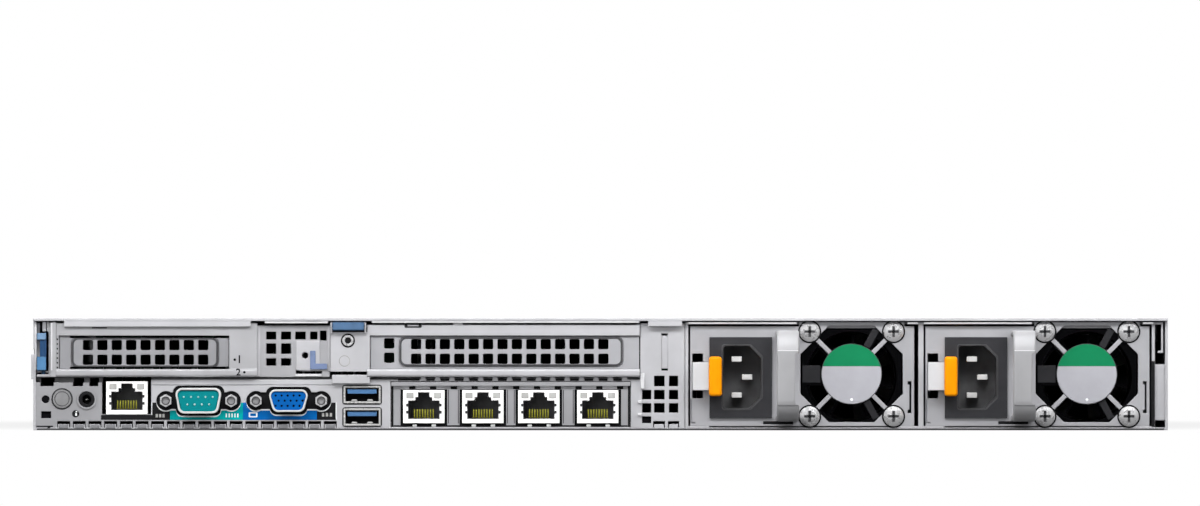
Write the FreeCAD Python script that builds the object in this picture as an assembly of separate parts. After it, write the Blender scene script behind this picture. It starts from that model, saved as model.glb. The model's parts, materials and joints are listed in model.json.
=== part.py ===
import FreeCAD, Part
import math
import os

# A one-unit rack server: a steel tray with lift-off cover, hot-swap supplies, drives, fans, risers and ports.
# Millimetres. Seen from behind the server, +X is to the right, +Y runs towards its front and +Z is up.
# The origin is the middle of the footprint, on the surface that the server stands on.
# A pair of numbers is a low and a high value on one axis, unless its comment says otherwise.

# Overall size
BODY_WIDTH = 434.0
HEIGHT = 42.8
EAR_SPAN = 482.0
REAR_TO_FLANGE = 734.0
FRONT_REACH = 22.0
BAY_REACH = 15.0
HANDLE_REACH = 34.0
SHEET = 1.0

# Gaps: a running fit, a piece at rest in its cut-out, how far a cut runs past the faces that it opens, and
# the least length that counts as one
RUNNING = 0.05
FIT = 0.1
PAST = 1.0
TINY = 0.01

# Planes worked out from the overall size
LENGTH = FRONT_REACH + REAR_TO_FLANGE + HANDLE_REACH
FRONT = LENGTH / 2
REAR = HANDLE_REACH - FRONT
FLANGE = REAR + REAR_TO_FLANGE
HALF = BODY_WIDTH / 2
INNER = HALF - SHEET
BAY_FRONT = FLANGE + BAY_REACH
COVER_UNDER = HEIGHT - SHEET
COVER_SEAM = 160.0
WALL_CUT = (REAR - PAST, REAR + SHEET + PAST)

# Tray: rack ears, rail holes, side hook, rear return and board standoffs
EAR_THICK = 2.0
EAR_Z = (2.0, 41.0)
RACK_HOLE_X = 465.1 / 2
RACK_HOLE_R = 3.4
RAIL_HOLE_R = 2.2
RAIL_HOLE_Y = (-160.0, 140.0)
RAIL_HOLE_Z = 12.0
SIDE_HOOK = 0.8
SIDE_HOOK_DEPTH = 6.0
SIDE_HOOK_Z = (19.5, 29.0)
SIDE_NOTCH_Z = (29.0, 31.0)
RETURN_X = (-216.2, -214.6)
RETURN_DEPTH = (4.0, 5.0)
RETURN_Z = (22.0, 41.0)
STANDOFF_R = 3.0
STANDOFF_X = (-205.0, -95.0, 0.0, 95.0, 205.0)
STANDOFF_Y = (-100.0, 30.0, 140.0)

# Rear wall
IO_TOP = 19.4
BUTTON_END_TOP = 18.3
SHELF = 20.4
SHELF_DEPTH = 18.0
SHELF_CUT = (REAR - PAST, REAR + SHELF_DEPTH + PAST)
COLUMN_X = (15.2, 32.2)
COLUMN_TOP = 40.9
VENT_PLATE_X = (-130.6, -103.6)
VENT_PLATE_TOP = 40.0
VENT_FOOT_DEPTH = 12.0
TAB_FIRST_X = -207.5
TAB_COUNT = 18
TAB_PITCH = 6.0
TAB_WIDTH = 4.2
TAB_TOP = 2.3
TAB_NOTCH_TOP = 3.45
TAB_GAP = 0.35
COLUMN_TAB_X = ((20.5, 24.3), (26.2, 29.7))
GAP_DEPTH = 10.0
PAD_FIRST_X = -68.8
PAD_COUNT = 15
PAD_WIDTH = 1.9
IO_SLOTS_X = ((-214.3, -209.2), (-201.8, -197.9), (-195.6, -192.2))
IO_SLOTS_Z = (16.85, 20.0)
SQUARE_HOLE = ((-214.0, -210.2), (4.6, 7.2))
FOLD_LINE_END = -102.3
FOLD_LINE_Z = (17.15, 17.4)
FOLD_LINE_SINK = 0.3
# Square vents of the wall: columns, then the rows that cross them
WALL_VENTS = (
    (((20.5, 24.5), (26.2, 29.7)), ((6.7, 10.3), (11.8, 15.4), (16.8, 20.8))),
    (((15.9, 19.4),), ((2.7, 5.3), (6.7, 10.3), (11.8, 15.4))),
    (((-127.9, -124.1), (-122.2, -118.4)), ((24.7, 27.5), (29.2, 33.2), (34.7, 37.7))),
    (((-116.8, -112.8), (-111.1, -108.3)), ((34.7, 37.7),)),
    (((-107.3, -104.8),), ((34.3, 38.1),)),
)
PLATE_HOLE = (-113.0, 28.6, 1.2)
PLATE_SLOT_X = (-116.5, -106.5)
PLATE_SLOT_Z = (21.6, 22.6)
PLATE_SLOT_END = ((-116.5, -115.3), (21.6, 24.0))
STRIP_X = (23.3, 25.8)
STRIP_Z = (23.6, 36.2)
STRIP_SINK = 0.45
STRIP_END = 0.8

# Round fittings of the rear wall: x, z and radius
ID_BUTTON = (-206.0, 12.0, 3.55)
ID_JACK = (-196.6, 11.8, 3.05)
LAMP_HOLE = (-212.3, 11.8, 1.5)
ID_BUTTON_GAP = 0.15
ID_BUTTON_PROUD = 0.7
ID_BUTTON_DEPTH = 3.0
ID_STEM_R = 1.5
ID_STEM_END = 8.0
ID_TRAVEL = 1.2
ID_SWITCH = (7.0, 15.0, 15.6)
JACK_BORE_R = 1.8
JACK_BORE_DEPTH = 11.0
JACK_PROUD = 0.4
JACK_NECK = 1.2
JACK_BODY = (7.0, 14.0, 15.6)

# Network jacks: the mouth's steps are a width, a low and a high edge above the jack's base
NET_WIDTH = 15.8
NET_HEIGHT = 12.6
NET_DEPTH = 18.0
NET_CAVITY = 14.0
NET_PROUD = 0.3
NET_MOUTH = ((12.05, 1.6, 8.7), (6.5, 8.6, 10.0), (4.4, 9.9, 11.8))
SERVICE_JACK = (-189.1, 6.1)
SERVICE_NOTCH_X = (SERVICE_JACK[0] - 1.6, SERVICE_JACK[0] + NET_WIDTH + 1.4)
LAN_JACK_X = (-75.5, -52.9, -31.5, -8.95)
LAN_JACK_Z = 2.7
LAN_BAY_X = (-80.3, 11.6)
LAN_BAY_Z = (1.2, 18.7)
LAN_BOARD_X = (-79.3, 10.6)
LAN_BOARD_DEPTH = (2.5, 72.0)
LAN_NOTCH_DEPTH = 74.0
BRACKET_X = (LAN_BAY_X[0] + 2 * FIT, LAN_BAY_X[1] - 2 * FIT)
BRACKET_FACE = (1.2, 2.2)
BRACKET_LIP = 0.4
BRACKET_LIP_Z = (16.9, LAN_BAY_Z[1] - 2 * FIT)
BRACKET_JACK_ROOM = (1.0, 0.3)
BRACKET_SLOT_COUNT = 11
BRACKET_SLOT_PITCH = 7.95
BRACKET_SLOT_FIRST_X = (-73.2, -70.8)
BRACKET_SLOT_Z = (15.7, 16.9)

# D connectors: a shell is its half width at the top, at the bottom, and its half height
D_SCREW_PITCH = 24.99
D_CENTRE_Z = 11.3
SERIAL_X = -153.75
VIDEO_X = -119.3
SERIAL_SHELL = (8.8, 7.1, 4.55)
VIDEO_SHELL = (7.85, 5.6, 4.1)
D_SHELL_REACH = 5.5
D_SHELL_WALL = 0.5
D_SHELL_R = 1.9
D_CUT_MARGIN = 1.2
D_CUT_FLARE = 0.4
D_CUT_R = 2.6
D_SCREW_CUT_R = 3.7
D_BRIDGE = 6.4
D_FLANGE = (32.0, 12.4, 2.0)
D_FLANGE_DEPTH = (1.1, 2.1)
D_BODY_WIDTH = 30.0
D_BODY_DEPTH = 15.0
D_BODY_TOP = 17.0
D_PIN_R = 0.5
SERIAL_FACE = -0.6
SERIAL_PIN_TIP = -4.7
SERIAL_PIN_PITCH = 2.77
SERIAL_ROWS = ((5, 1.42), (4, -1.42))
VIDEO_FACE = -4.9
VIDEO_SOCKET_END = -1.5
VIDEO_PIN_PITCH = 2.29
VIDEO_COLUMNS = 5
VIDEO_ROWS = ((-0.3, 1.98), (0.85, 0.0), (-0.3, -1.98))
JACKSCREW_HEX = 2.5
JACKSCREW_REACH = 3.7
JACKSCREW_HOLE_R = 1.25

# Serial-bus sockets
USB_X = (-98.3, -84.1)
USB_Z = ((10.3, 16.95), (1.7, 8.35))
USB_PROUD = 0.4
USB_DEPTH = 17.0
USB_CAVITY = 12.0
USB_WALL = 0.7
USB_TONGUE = (0.6, 13.0)
USB_TONGUE_SIDE = 1.6
USB_TONGUE_BELOW = (2.9, 1.3)
USB_HOUSING = (14.0, 24.0)
USB_NOTCH_GAP = 0.3

# System board
BOARD_X = (-214.0, 214.0)
BOARD_NECK_END = 31.0
BOARD_REAR_GAP = 2.3
BOARD_TOP = 6.1
BOARD_THICK = 1.6
BOARD_FRONT = 150.0
BOARD_NECK_Y = -130.0
CPU_X = (-110.0, 110.0)
CPU_Y = 25.0
CPU_SOCKET = (76.0, 80.0, 3.0)
SINK_SIZE = (84.0, 112.0, 26.0)
SINK_BASE = 5.0
SINK_FINS = 17
SINK_FIN = 1.2
DIMM_SIZE = (1.4, 133.35, 27.5)
DIMM_PITCH = 7.6
DIMM_BANK = 6
DIMM_OFFSET = 54.0
DIMM_SOCKET = (6.4, 141.35, 2.4)
CHIP_COUNT = 9
CHIP_PITCH = 14.0
CHIP_SIZE = (3.6, 9.5)
CHIP_Z = (8.0, 20.0)

# Risers
RISER_LEFT_X = (-208.2, -131.3)
RISER_RIGHT_X = (-89.2, 15.0)
RISER_FACE = (-1.6, -0.6)
RISER_DEPTH = 135.0
RISER_LEFT_TOP = 41.0
RISER_RIGHT_TOP = 40.3
RISER_WALL_TOP = 39.0
RISER_FLOOR_DEPTH = 20.0
RISER_ROOF_DEPTH = 14.0
RISER_JAMB = 0.3
RISER_BOARD_THICK = 1.6
RISER_BOARD_DEPTH = (26.0, RISER_DEPTH - 5.0)
RISER_BOARD_TOP = 37.0
RISER_SLOT_WIDTH = 7.4
RISER_SLOT_START = 45.0
RISER_SLOT_Z = (26.0, 33.5)
HEM_REACH = (-3.0, -0.4)
HEM_R = 0.9
SLOT_Z = (23.4, 36.2)
SLOT_LEFT_X = (RISER_LEFT_X[0] + 1.0, -142.0)
FILLER_DEPTH = (-0.4, 0.5)
FILLER_GAP = 0.2
FILLER_LEFT_Z = (24.3, 35.2)
FILLER_HEEL_END = -202.9
VENT_HOLE = 3.9
VENT_PITCH = 5.51
VENT_ROW_PITCH = 5.6
VENT_R = 0.6
VENT_CUT = (REAR - 2.0, REAR + 2.0)
ISLAND_RISE = (-1.3, -0.4)
ISLAND_R = 2.2
GROOVE = 0.4
GROOVE_DEPTH = (-1.0, 0.2)
ISLAND_LEFT = ((-202.1, -146.4), (24.2, 35.3))
ISLAND_LEFT_VENTS = (9, -198.0)
ISLAND_RIGHT = ((-76.7, 8.3), (24.7, 35.5))
ISLAND_RIGHT_VENTS = (14, -72.5)
SIDE_VENT_X = (-82.8, -78.9)
SIDE_VENT_Z = ((25.75, 29.65), (31.25, 35.15))
POST_X = (-211.2, RISER_LEFT_X[0])
POST_DEPTH = (0.4, 12.0)
POST_FRONT_X = (-210.3, RISER_LEFT_X[0])
POST_FRONT_DEPTH = (-2.4, 1.0)
POST_TOP = 41.2
POST_TOE_X = (-215.6, POST_X[0])
POST_TOE_DEPTH = (1.8, 3.6)
POST_TOE_Z = (22.0, 22.7)
LUG_X = (-215.6, RISER_LEFT_X[0])
LUG_DEPTH = (-1.2, 6.0)

# Riser latches: pins are a place in plan for the left one, and y with z for the right one
LATCH_LEFT_PIN = (-213.2, REAR + 0.6)
LATCH_RIGHT_PIN = (REAR - 2.0, 39.9)
LATCH_PIN_R = 0.7
LATCH_BAR = ((-214.4, -212.0), (-1.2, 2.0), (22.9, 37.2))
LATCH_PADS = (((34.6, 37.2), -1.8), ((22.9, 28.2), -2.0))
LATCH_PAD_X = (-215.6, -212.0)
LATCH_PAD_BACK = 1.0
LATCH_PAD_R = 0.5
LATCH_LEFT_PIN_TOP = 24.0
LATCH_PLATE_X = (-103.3, -89.6)
LATCH_PLATE_Z = (22.4, 37.6)
LATCH_EAR = 0.7
LATCH_EAR_REACH = (-3.0, -0.6)
LATCH_EAR_Z = (37.0, 41.2)
LATCH_FOOT_X = -102.7
LATCH_FOOT_DEPTH = (-2.2, -0.6)
LATCH_FOOT_Z = (17.9, 21.2)
LATCH_NECK_END = 2.0
LATCH_LEVER_SIDE = 0.9
# Section of the right lever: distance behind the rear wall's face, and height
LATCH_LEVER = ((-5.4, 38.2), (-2.9, 38.2), (-1.2, 39.3), (-1.2, 41.3), (-4.2, 41.3))
LATCH_LEVER_R = 0.4

# Power supplies, drawn at the left bay
PSU_X = (34.3, 120.0)
PSU_PITCH = 90.0
PSU_Z = (1.55, 39.75)
PSU_DEPTH = 215.0
PSU_WALL = 0.8
FAN_PLATE_X = (76.0, 116.3)
FAN_PLATE_TOP = 41.4
FAN_PLATE_DEPTH = 4.0
FAN_CENTRE = (96.05, 21.5)
FAN_WINDOW = (39.2, 36.9, 10.9)
FAN_WINDOW_R = 1.2
HUB_DISC_R = 11.6
SPOKE_WIDTH = 1.7
SPOKE_SPAN = 46.0
SCREW_PITCH = (32.1, 32.4)
SCREW_HEAD_R = 3.85
SCREW_HEAD_RISE = 2.2
SCREW_DOME_R = 6.0
SCREW_CROSS = (4.2, 1.0)
SCREW_CROSS_FLOOR = -1.1
SCREW_SHANK_R = 1.5
SCREW_SHANK_START = -0.5
SCREW_HOLE_R = 1.7
PSU_FAN_SIZE = (38.0, 36.2)
PSU_FAN_END = 30.0
# Struts of a fan's motor base: direction in degrees, and width
PSU_FAN_STRUTS = ((60, 2.4), (300, 2.4), (180, 6.8))
INLET_X = (41.7, 65.6)
INLET_Z = (4.6, 35.6)
INLET_FLANGE = 1.2
INLET_LAP = 0.7
INLET_SOCKET_X = (46.6, 61.8)
INLET_SOCKET_Z = (8.0, 32.6)
INLET_CHAMFER = 4.6
INLET_SOCKET_R = 1.5
INLET_DEPTH = 22.0
SOCKET_FLOOR = 14.8
BLADE_PINS = ((52.1, 27.2), (56.1, 20.3), (52.1, 13.4))
BLADE_PIN = (3.9, 2.0)
BLADE_PIN_DEPTH = (1.5, 16.0)
HANDLE_X = (67.0, 75.6)
HANDLE_Z = (3.4, 38.1)
HANDLE_THICK = 2.4
HANDLE_BEND = 8.4
HANDLE_SOFT = 0.9
HANDLE_WAIST = ((74.0, 80.0), (9.6, 29.6))
HANDLE_WAIST_R = 1.5
HANDLE_TAIL = 20.0
LATCH_ARM_X = (35.2, 41.4)
LATCH_ARM_Z = (15.3, 26.0)
LATCH_LEAF = 0.7
LATCH_ARM_FRONT = (-7.0, -6.2)
LATCH_CURL = 0.9
FACE_SLOTS = (
    ((35.1, 39.2), (12.2, LATCH_ARM_Z[0] - FIT)),
    ((35.1, 39.2), (LATCH_ARM_Z[1] + FIT, 29.3)),
    ((35.1, 41.6), (LATCH_ARM_Z[0] - FIT, LATCH_ARM_Z[1] + FIT)),
    ((62.2, 73.7), (2.35, 3.2)),
    ((118.2, 118.9), (6.5, 18.7)),
    ((117.5, 118.9), (6.5, 7.8)),
    ((117.5, 118.9), (17.4, 18.7)),
)
EDGE_SLITS = (((34.55, 34.95), (2.45, 11.9)), ((34.55, 36.2), (2.45, 3.1)))
SLIT_DEPTH = 0.6
LATCH_TAB_X = (41.4, 46.4)
LATCH_TAB_Z = (13.0, 28.2)
LATCH_TAB_DEPTH = (-9.0, -3.5)
LATCH_TAB_R = 1.2
LATCH_TAB_SOFT = 1.1
LATCH_POST = (37.0, REAR + 60.0)
LATCH_POST_R = 0.8
CAGE_TOP = (40.45, 41.25)
CAGE_DEPTH = 228.0
CAGE_LEFT_X = (32.4, 33.6)
CAGE_MIDDLE_X = (121.6, 123.6)
CAGE_RIGHT_X = (210.9, 212.1)
CAGE_RAIL = 8.0
CAGE_NOTCH_SIDE = 1.0
CAGE_NOTCH_DEPTH = 6.0
GUSSET_DEPTH = (1.0, 2.0)
GUSSET_Z = (3.8, 25.2)
RAIL_HOOK_X = (214.5, 215.2)
RAIL_HOOK_Z = 29.6
RAIL_HOOK_DEPTH = 3.0
RAIL_HOOK_TIP = (1.3, 0.8)

# Fans
FAN_RIM = 0.8
FAN_HUB_SHARE = 0.56
FAN_BASE = 2.2
FAN_BEARING = (3.0, 6.0)
FAN_ROTOR_GAP = 0.8
FAN_MOUTH = 3.0
FAN_CUP_WALL = 1.2
FAN_TIP_GAP = 1.2
FAN_BLADES = 7
BLADE_THICK = 1.0
BLADE_INSET = 1.0
BLADE_LENGTH = 19.0
BLADE_ROOT_SINK = 0.4
BLADE_LEAN = (0.18, 0.34)
SHAFT_R = 1.5
SHAFT_START = 0.3
SYSTEM_FAN_X = (-168.0, -84.0, 0.0, 84.0, 168.0)
SYSTEM_FAN_Y = (164.0, 220.0)
SYSTEM_FAN_SIZE = (48.0, 40.0)
SYSTEM_FAN_STRUTS = ((45, 3), (135, 3), (225, 3), (315, 3))

# Drive bays
BAY_COUNT = 4
BAY_PITCH = 107.6
BAY_TOP = 29.0
BAY_CAGE_START = 230.0
BROW_SLOT_COUNT = 34
BROW_SLOT_PITCH = 12.0
BROW_SLOT_WIDTH = 8.6
BROW_SLOT_Z = (32.4, 38.6)
BACKPLANE_Y = (226.0, 228.0)
BACKPLANE_TOP = 40.0
BACKPLANE_PLUG = (34.0, 4.5, (5.0, 11.0))
BACKPLANE_WINDOW = (80.0, (15.0, 24.0))
CARRIER_WIDTH = 104.0
CARRIER_Z = (SHEET, 27.8)
CARRIER_REAR = 234.0
CARRIER_RAIL = 1.2
CARRIER_RAIL_TOP = 22.0
CARRIER_EAR = (7.0, 2.4)
DISK_SIZE = (101.6, 146.0, 24.4)
DISK_START = 1.0
BEZEL_THICK = 6.0
BEZEL_SLOT_COUNT = 9
BEZEL_SLOT_PITCH = 9.0
BEZEL_SLOT_SHIFT = 3.0
BEZEL_SLOT_WIDTH = 6.4
BEZEL_SLOT_Z = ((5.0, 12.5), (16.5, 24.0))
LEVER_THICK = 4.4
LEVER_PIVOT = 3.0
LEVER_BACK_GAP = 0.3
LEVER_BAR_GAP = 0.7
LEVER_EAR_GAP = 2.6
LEVER_PIN_GAP = 0.2
LEVER_END_GAP = 1.0
LEVER_WINDOW = (16.0, 4.5)

# Control panels on the rack ears, and the power button in the right one
PANEL_GAP = 0.4
PANEL_WIDTH = 10.0
PANEL_Z = (2.5, 40.5)
PANEL_R = 2.0
PANEL_HEEL = 6.0
POWER_BUTTON_X = HALF + 5.4
POWER_BUTTON_Z = 31.0
POWER_BUTTON_R = 3.2
POWER_RECESS_R = 3.4
POWER_RECESS_DEPTH = 6.0
POWER_BUTTON_DEPTH = (4.5, 0.2)

# Covers: stamped panels, rear lips, skirts, and the pocket of the latch
COVER_GAP = 1.0
PANEL_SINK = 0.5
PANEL_CORNER = 12.0
TOP_PANEL_X = (-190.0, -110.0, 60.0, 140.0)
TOP_PANEL_WIDTH = 50.0
TOP_PANEL_Y = (-330.0, 130.0)
FRONT_PANEL_X = (-185.0, -35.0, 115.0)
FRONT_PANEL_WIDTH = 70.0
FRONT_PANEL_Y = (200.0, 370.0)
COVER_OVERHANG = 3.2
COVER_LIPS = (((-205.2, -133.7), 39.6), ((18.2, 31.2), 39.75))
SKIRT_X = (214.4, 215.4)
SKIRT_Y = (-300.0, 157.0)
SKIRT_BOTTOM = 34.0
POCKET_X = (-32.0, 32.0)
POCKET_Y = (40.0, 144.0)
POCKET_FLOOR = 37.6
LATCH_PIVOT_R = 1.6
LATCH_PIVOT = (POCKET_Y[1] - 4.0, HEIGHT - 2.4)
LATCH_PIVOT_LAP = 0.6
LATCH_BEARING_LAP = 0.8
LATCH_BARREL_R = 2.2
LATCH_SIDE_GAP = 0.6
LATCH_END_GAP = 4.0
LATCH_PLATE_UNDER = 0.8
LATCH_FLUSH = 0.2
LATCH_NOTCH = (26.0, 12.0)


def vector(x, y, z):
    return FreeCAD.Vector(x, y, z)


def block(x, y, z):
    """A box between (low, high) pairs on the three axes."""
    return Part.makeBox(x[1] - x[0], y[1] - y[0], z[1] - z[0], vector(x[0], y[0], z[0]))


def rod(x, z, radius, y):
    """A cylinder along Y between the pair y."""
    return Part.makeCylinder(radius, y[1] - y[0], vector(x, y[0], z), vector(0, 1, 0))


def pin_x(y, z, radius, x):
    """A cylinder along X between the pair x."""
    return Part.makeCylinder(radius, x[1] - x[0], vector(x[0], y, z), vector(1, 0, 0))


def upright(place, radius, z):
    """A cylinder along Z between the pair z, at an (x, y) place."""
    return Part.makeCylinder(radius, z[1] - z[0], vector(place[0], place[1], z[0]))


def joined(shapes):
    """One solid from pieces that overlap or share faces."""
    return shapes[0].multiFuse(shapes[1:]).removeSplitter()


def group(shapes):
    """Separate solids kept in one node."""
    return Part.makeCompound(shapes)


def rounded_wire(points, radius):
    """A closed outline whose corners are arcs of one radius."""
    edges = []
    count = len(points)
    starts = []
    ends = []
    for i in range(count):
        before, corner, after = points[i - 1], points[i], points[(i + 1) % count]
        back = (before - corner).normalize()
        ahead = (after - corner).normalize()
        half_angle = back.getAngle(ahead) / 2
        reach = radius / math.tan(half_angle)
        starts.append(corner + back * reach)
        ends.append(corner + ahead * reach)
        bisector = (back + ahead).normalize()
        middle = corner + bisector * (radius / math.sin(half_angle) - radius)
        edges.append(Part.Arc(starts[i], middle, ends[i]).toShape())
    for i in range(count):
        run_start, run_end = ends[i], starts[(i + 1) % count]
        if run_start.distanceToPoint(run_end) > TINY:
            edges.append(Part.LineSegment(run_start, run_end).toShape())
    return Part.Wire(Part.__sortEdges__(edges))


def pushed(points, travel, radius):
    """A flat outline pushed along a vector, with rounded corners where a radius is given."""
    wire = rounded_wire(points, radius) if radius else Part.makePolygon(points + points[:1])
    return Part.Face(wire).extrude(travel)


def prism(outline, y, radius=0.0):
    """An XZ outline pushed along Y between the pair y."""
    return pushed([vector(x, y[0], z) for x, z in outline], vector(0, y[1] - y[0], 0), radius)


def side_prism(outline, x, radius=0.0):
    """A YZ outline pushed along X between the pair x."""
    return pushed([vector(x[0], y, z) for y, z in outline], vector(x[1] - x[0], 0, 0), radius)


def pillow(x, y, z, radius):
    """A box whose upright edges are rounded."""
    return pushed([vector(a, b, z[0]) for a, b in rectangle(x, y)], vector(0, 0, z[1] - z[0]), radius)


def rectangle(across, up):
    return [(across[0], up[0]), (across[1], up[0]), (across[1], up[1]), (across[0], up[1])]


def centred(middle, size):
    return (middle - size / 2, middle + size / 2)


def grown(pair, margin):
    """A pair with both ends moved outwards by a margin, or inwards by a negative one."""
    return (pair[0] - margin, pair[1] + margin)


def from_rear(near, far):
    """A pair of Y values measured from the rear wall's outer face."""
    return (REAR + near, REAR + far)


def turned(shape, angle, x, z):
    """A shape made at the origin, turned about Y by an angle in degrees and moved to a centre."""
    shape.rotate(vector(0, 0, 0), vector(0, -1, 0), angle)
    shape.translate(vector(x, 0, z))
    return shape


def d_outline(centre_x, top_half, bottom_half, half_height):
    """The D shape of a sub-miniature connector, wider at the top."""
    top, bottom = D_CENTRE_Z + half_height, D_CENTRE_Z - half_height
    return [
        (centre_x - bottom_half, bottom),
        (centre_x + bottom_half, bottom),
        (centre_x + top_half, top),
        (centre_x - top_half, top),
    ]


# Sheet-metal body


def floor_tabs():
    """X pairs of the tray's upright tabs, which stand in notches of the rear wall."""
    starts = [TAB_FIRST_X + i * TAB_PITCH for i in range(TAB_COUNT)]
    return [(start, start + TAB_WIDTH) for start in starts] + list(COLUMN_TAB_X)


def chassis_tray():
    ear_y = (FLANGE - EAR_THICK, FLANGE)
    pieces = [block((-HALF, HALF), (REAR, BAY_FRONT), (0, SHEET))]
    pieces += [block(x, from_rear(0, SHEET), (0, TAB_TOP)) for x in floor_tabs()]
    pieces.append(block((-HALF - SIDE_HOOK, -INNER), from_rear(0, SIDE_HOOK_DEPTH), SIDE_HOOK_Z))
    pieces.append(block(RETURN_X, from_rear(*RETURN_DEPTH), RETURN_Z))
    for side in (-1, 1):
        wall_x = sorted((side * HALF, side * INNER))
        pieces.append(block(wall_x, (REAR, BAY_FRONT), (0, COVER_UNDER)))
        ear_x = sorted((side * EAR_SPAN / 2, side * INNER))
        pieces.append(block(ear_x, ear_y, EAR_Z))
    for x in STANDOFF_X:
        for y in STANDOFF_Y:
            pieces.append(upright((x, y), STANDOFF_R, (0, BOARD_TOP - BOARD_THICK)))
    holes = [block((-HALF - PAST, -INNER + FIT), from_rear(-PAST, SIDE_HOOK_DEPTH), SIDE_NOTCH_Z)]
    for side in (-1, 1):
        holes.append(rod(side * RACK_HOLE_X, HEIGHT / 2, RACK_HOLE_R, grown(ear_y, PAST)))
        for y in RAIL_HOLE_Y:
            wall_x = sorted((side * (HALF + PAST), side * (INNER - PAST)))
            holes.append(pin_x(y, RAIL_HOLE_Z, RAIL_HOLE_R, wall_x))
    return joined(pieces).cut(holes)


def d_cutout(centre_x, shell):
    """The wall's opening around a D connector and its two jackscrews."""
    top_half, bottom_half, half_height = (half + D_CUT_MARGIN for half in shell)
    outline = d_outline(centre_x, top_half + D_CUT_FLARE, bottom_half, half_height)
    tools = [prism(outline, WALL_CUT, D_CUT_R)]
    for side in (-1, 1):
        tools.append(rod(centre_x + side * D_SCREW_PITCH / 2, D_CENTRE_Z, D_SCREW_CUT_R, WALL_CUT))
    tools.append(block(centred(centre_x, D_SCREW_PITCH), WALL_CUT, centred(D_CENTRE_Z, D_BRIDGE)))
    return tools


def wall_run(x, top):
    """A length of the lower wall, folded over at its top and up again to the shelf."""
    face = block(x, from_rear(0, SHEET), (SHEET, top))
    fold = block(x, from_rear(0, GAP_DEPTH + SHEET), (top - SHEET, top))
    rise = block(x, from_rear(GAP_DEPTH, SHELF_DEPTH), (top - SHEET, SHELF))
    return [face, fold, rise]


def rear_panel():
    """Rear wall with its folded shelf, the tall column and the vent plate between the slots.

    Two sheets butt below the service jack: the button's end of the wall, and the rest.
    """
    sheets = wall_run((-INNER, SERVICE_NOTCH_X[0]), BUTTON_END_TOP)
    sheets += wall_run((SERVICE_NOTCH_X[0], COLUMN_X[0]), IO_TOP)
    sheets.append(block(COLUMN_X, from_rear(0, SHEET), (SHEET, COLUMN_TOP)))
    sheets.append(block(VENT_PLATE_X, from_rear(0, SHEET), (SHELF, VENT_PLATE_TOP)))
    sheets.append(block(VENT_PLATE_X, from_rear(0, VENT_FOOT_DEPTH), (SHELF, SHELF + SHEET)))
    for i in range(PAD_COUNT):
        pad_x = PAD_FIRST_X + i * VENT_PITCH
        sheets.append(block((pad_x, pad_x + PAD_WIDTH), from_rear(0, SHEET), (IO_TOP, SHELF)))
    wall = joined(sheets).cut(port_openings() + wall_slots())
    button_end = block((-HALF, SERVICE_NOTCH_X[1]), SHELF_CUT, (0, HEIGHT))
    return group([wall.common(button_end), wall.cut(button_end)])


def port_openings():
    """Cut-outs of the rear wall for the ports, the button, the lamp and the network card."""
    tools = [
        rod(ID_BUTTON[0], ID_BUTTON[1], ID_BUTTON[2] + ID_BUTTON_GAP, WALL_CUT),
        rod(ID_JACK[0], ID_JACK[1], ID_JACK[2] + FIT, WALL_CUT),
        rod(*LAMP_HOLE, WALL_CUT),
        block(LAN_BAY_X, SHELF_CUT, LAN_BAY_Z),
        block(SERVICE_NOTCH_X, SHELF_CUT, (SERVICE_JACK[1], IO_TOP + PAST)),
    ]
    tools += d_cutout(SERIAL_X, SERIAL_SHELL) + d_cutout(VIDEO_X, VIDEO_SHELL)
    tools += [block(grown(USB_X, FIT), WALL_CUT, grown(z, FIT)) for z in USB_Z]
    return tools


def wall_slots():
    """Vents, slots, tab notches, fold line and embossed strip of the rear wall."""
    tools = [block(SQUARE_HOLE[0], WALL_CUT, SQUARE_HOLE[1]), rod(*PLATE_HOLE, WALL_CUT)]
    tools += [block(x, SHELF_CUT, IO_SLOTS_Z) for x in IO_SLOTS_X]
    tools += [block(grown(x, TAB_GAP), WALL_CUT, (0, TAB_NOTCH_TOP)) for x in floor_tabs()]
    for columns, rows in WALL_VENTS:
        tools += [block(x, WALL_CUT, z) for x in columns for z in rows]
    tools.append(block((SERVICE_NOTCH_X[1], FOLD_LINE_END), from_rear(-PAST, FOLD_LINE_SINK), FOLD_LINE_Z))
    tools.append(block(PLATE_SLOT_X, WALL_CUT, PLATE_SLOT_Z))
    tools.append(block(PLATE_SLOT_END[0], WALL_CUT, PLATE_SLOT_END[1]))
    tools.append(block(STRIP_X, from_rear(-PAST, STRIP_SINK), STRIP_Z))
    for low in (STRIP_Z[0] - STRIP_END, STRIP_Z[1]):
        tools.append(block(STRIP_X, WALL_CUT, (low, low + STRIP_END)))
    return tools


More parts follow.
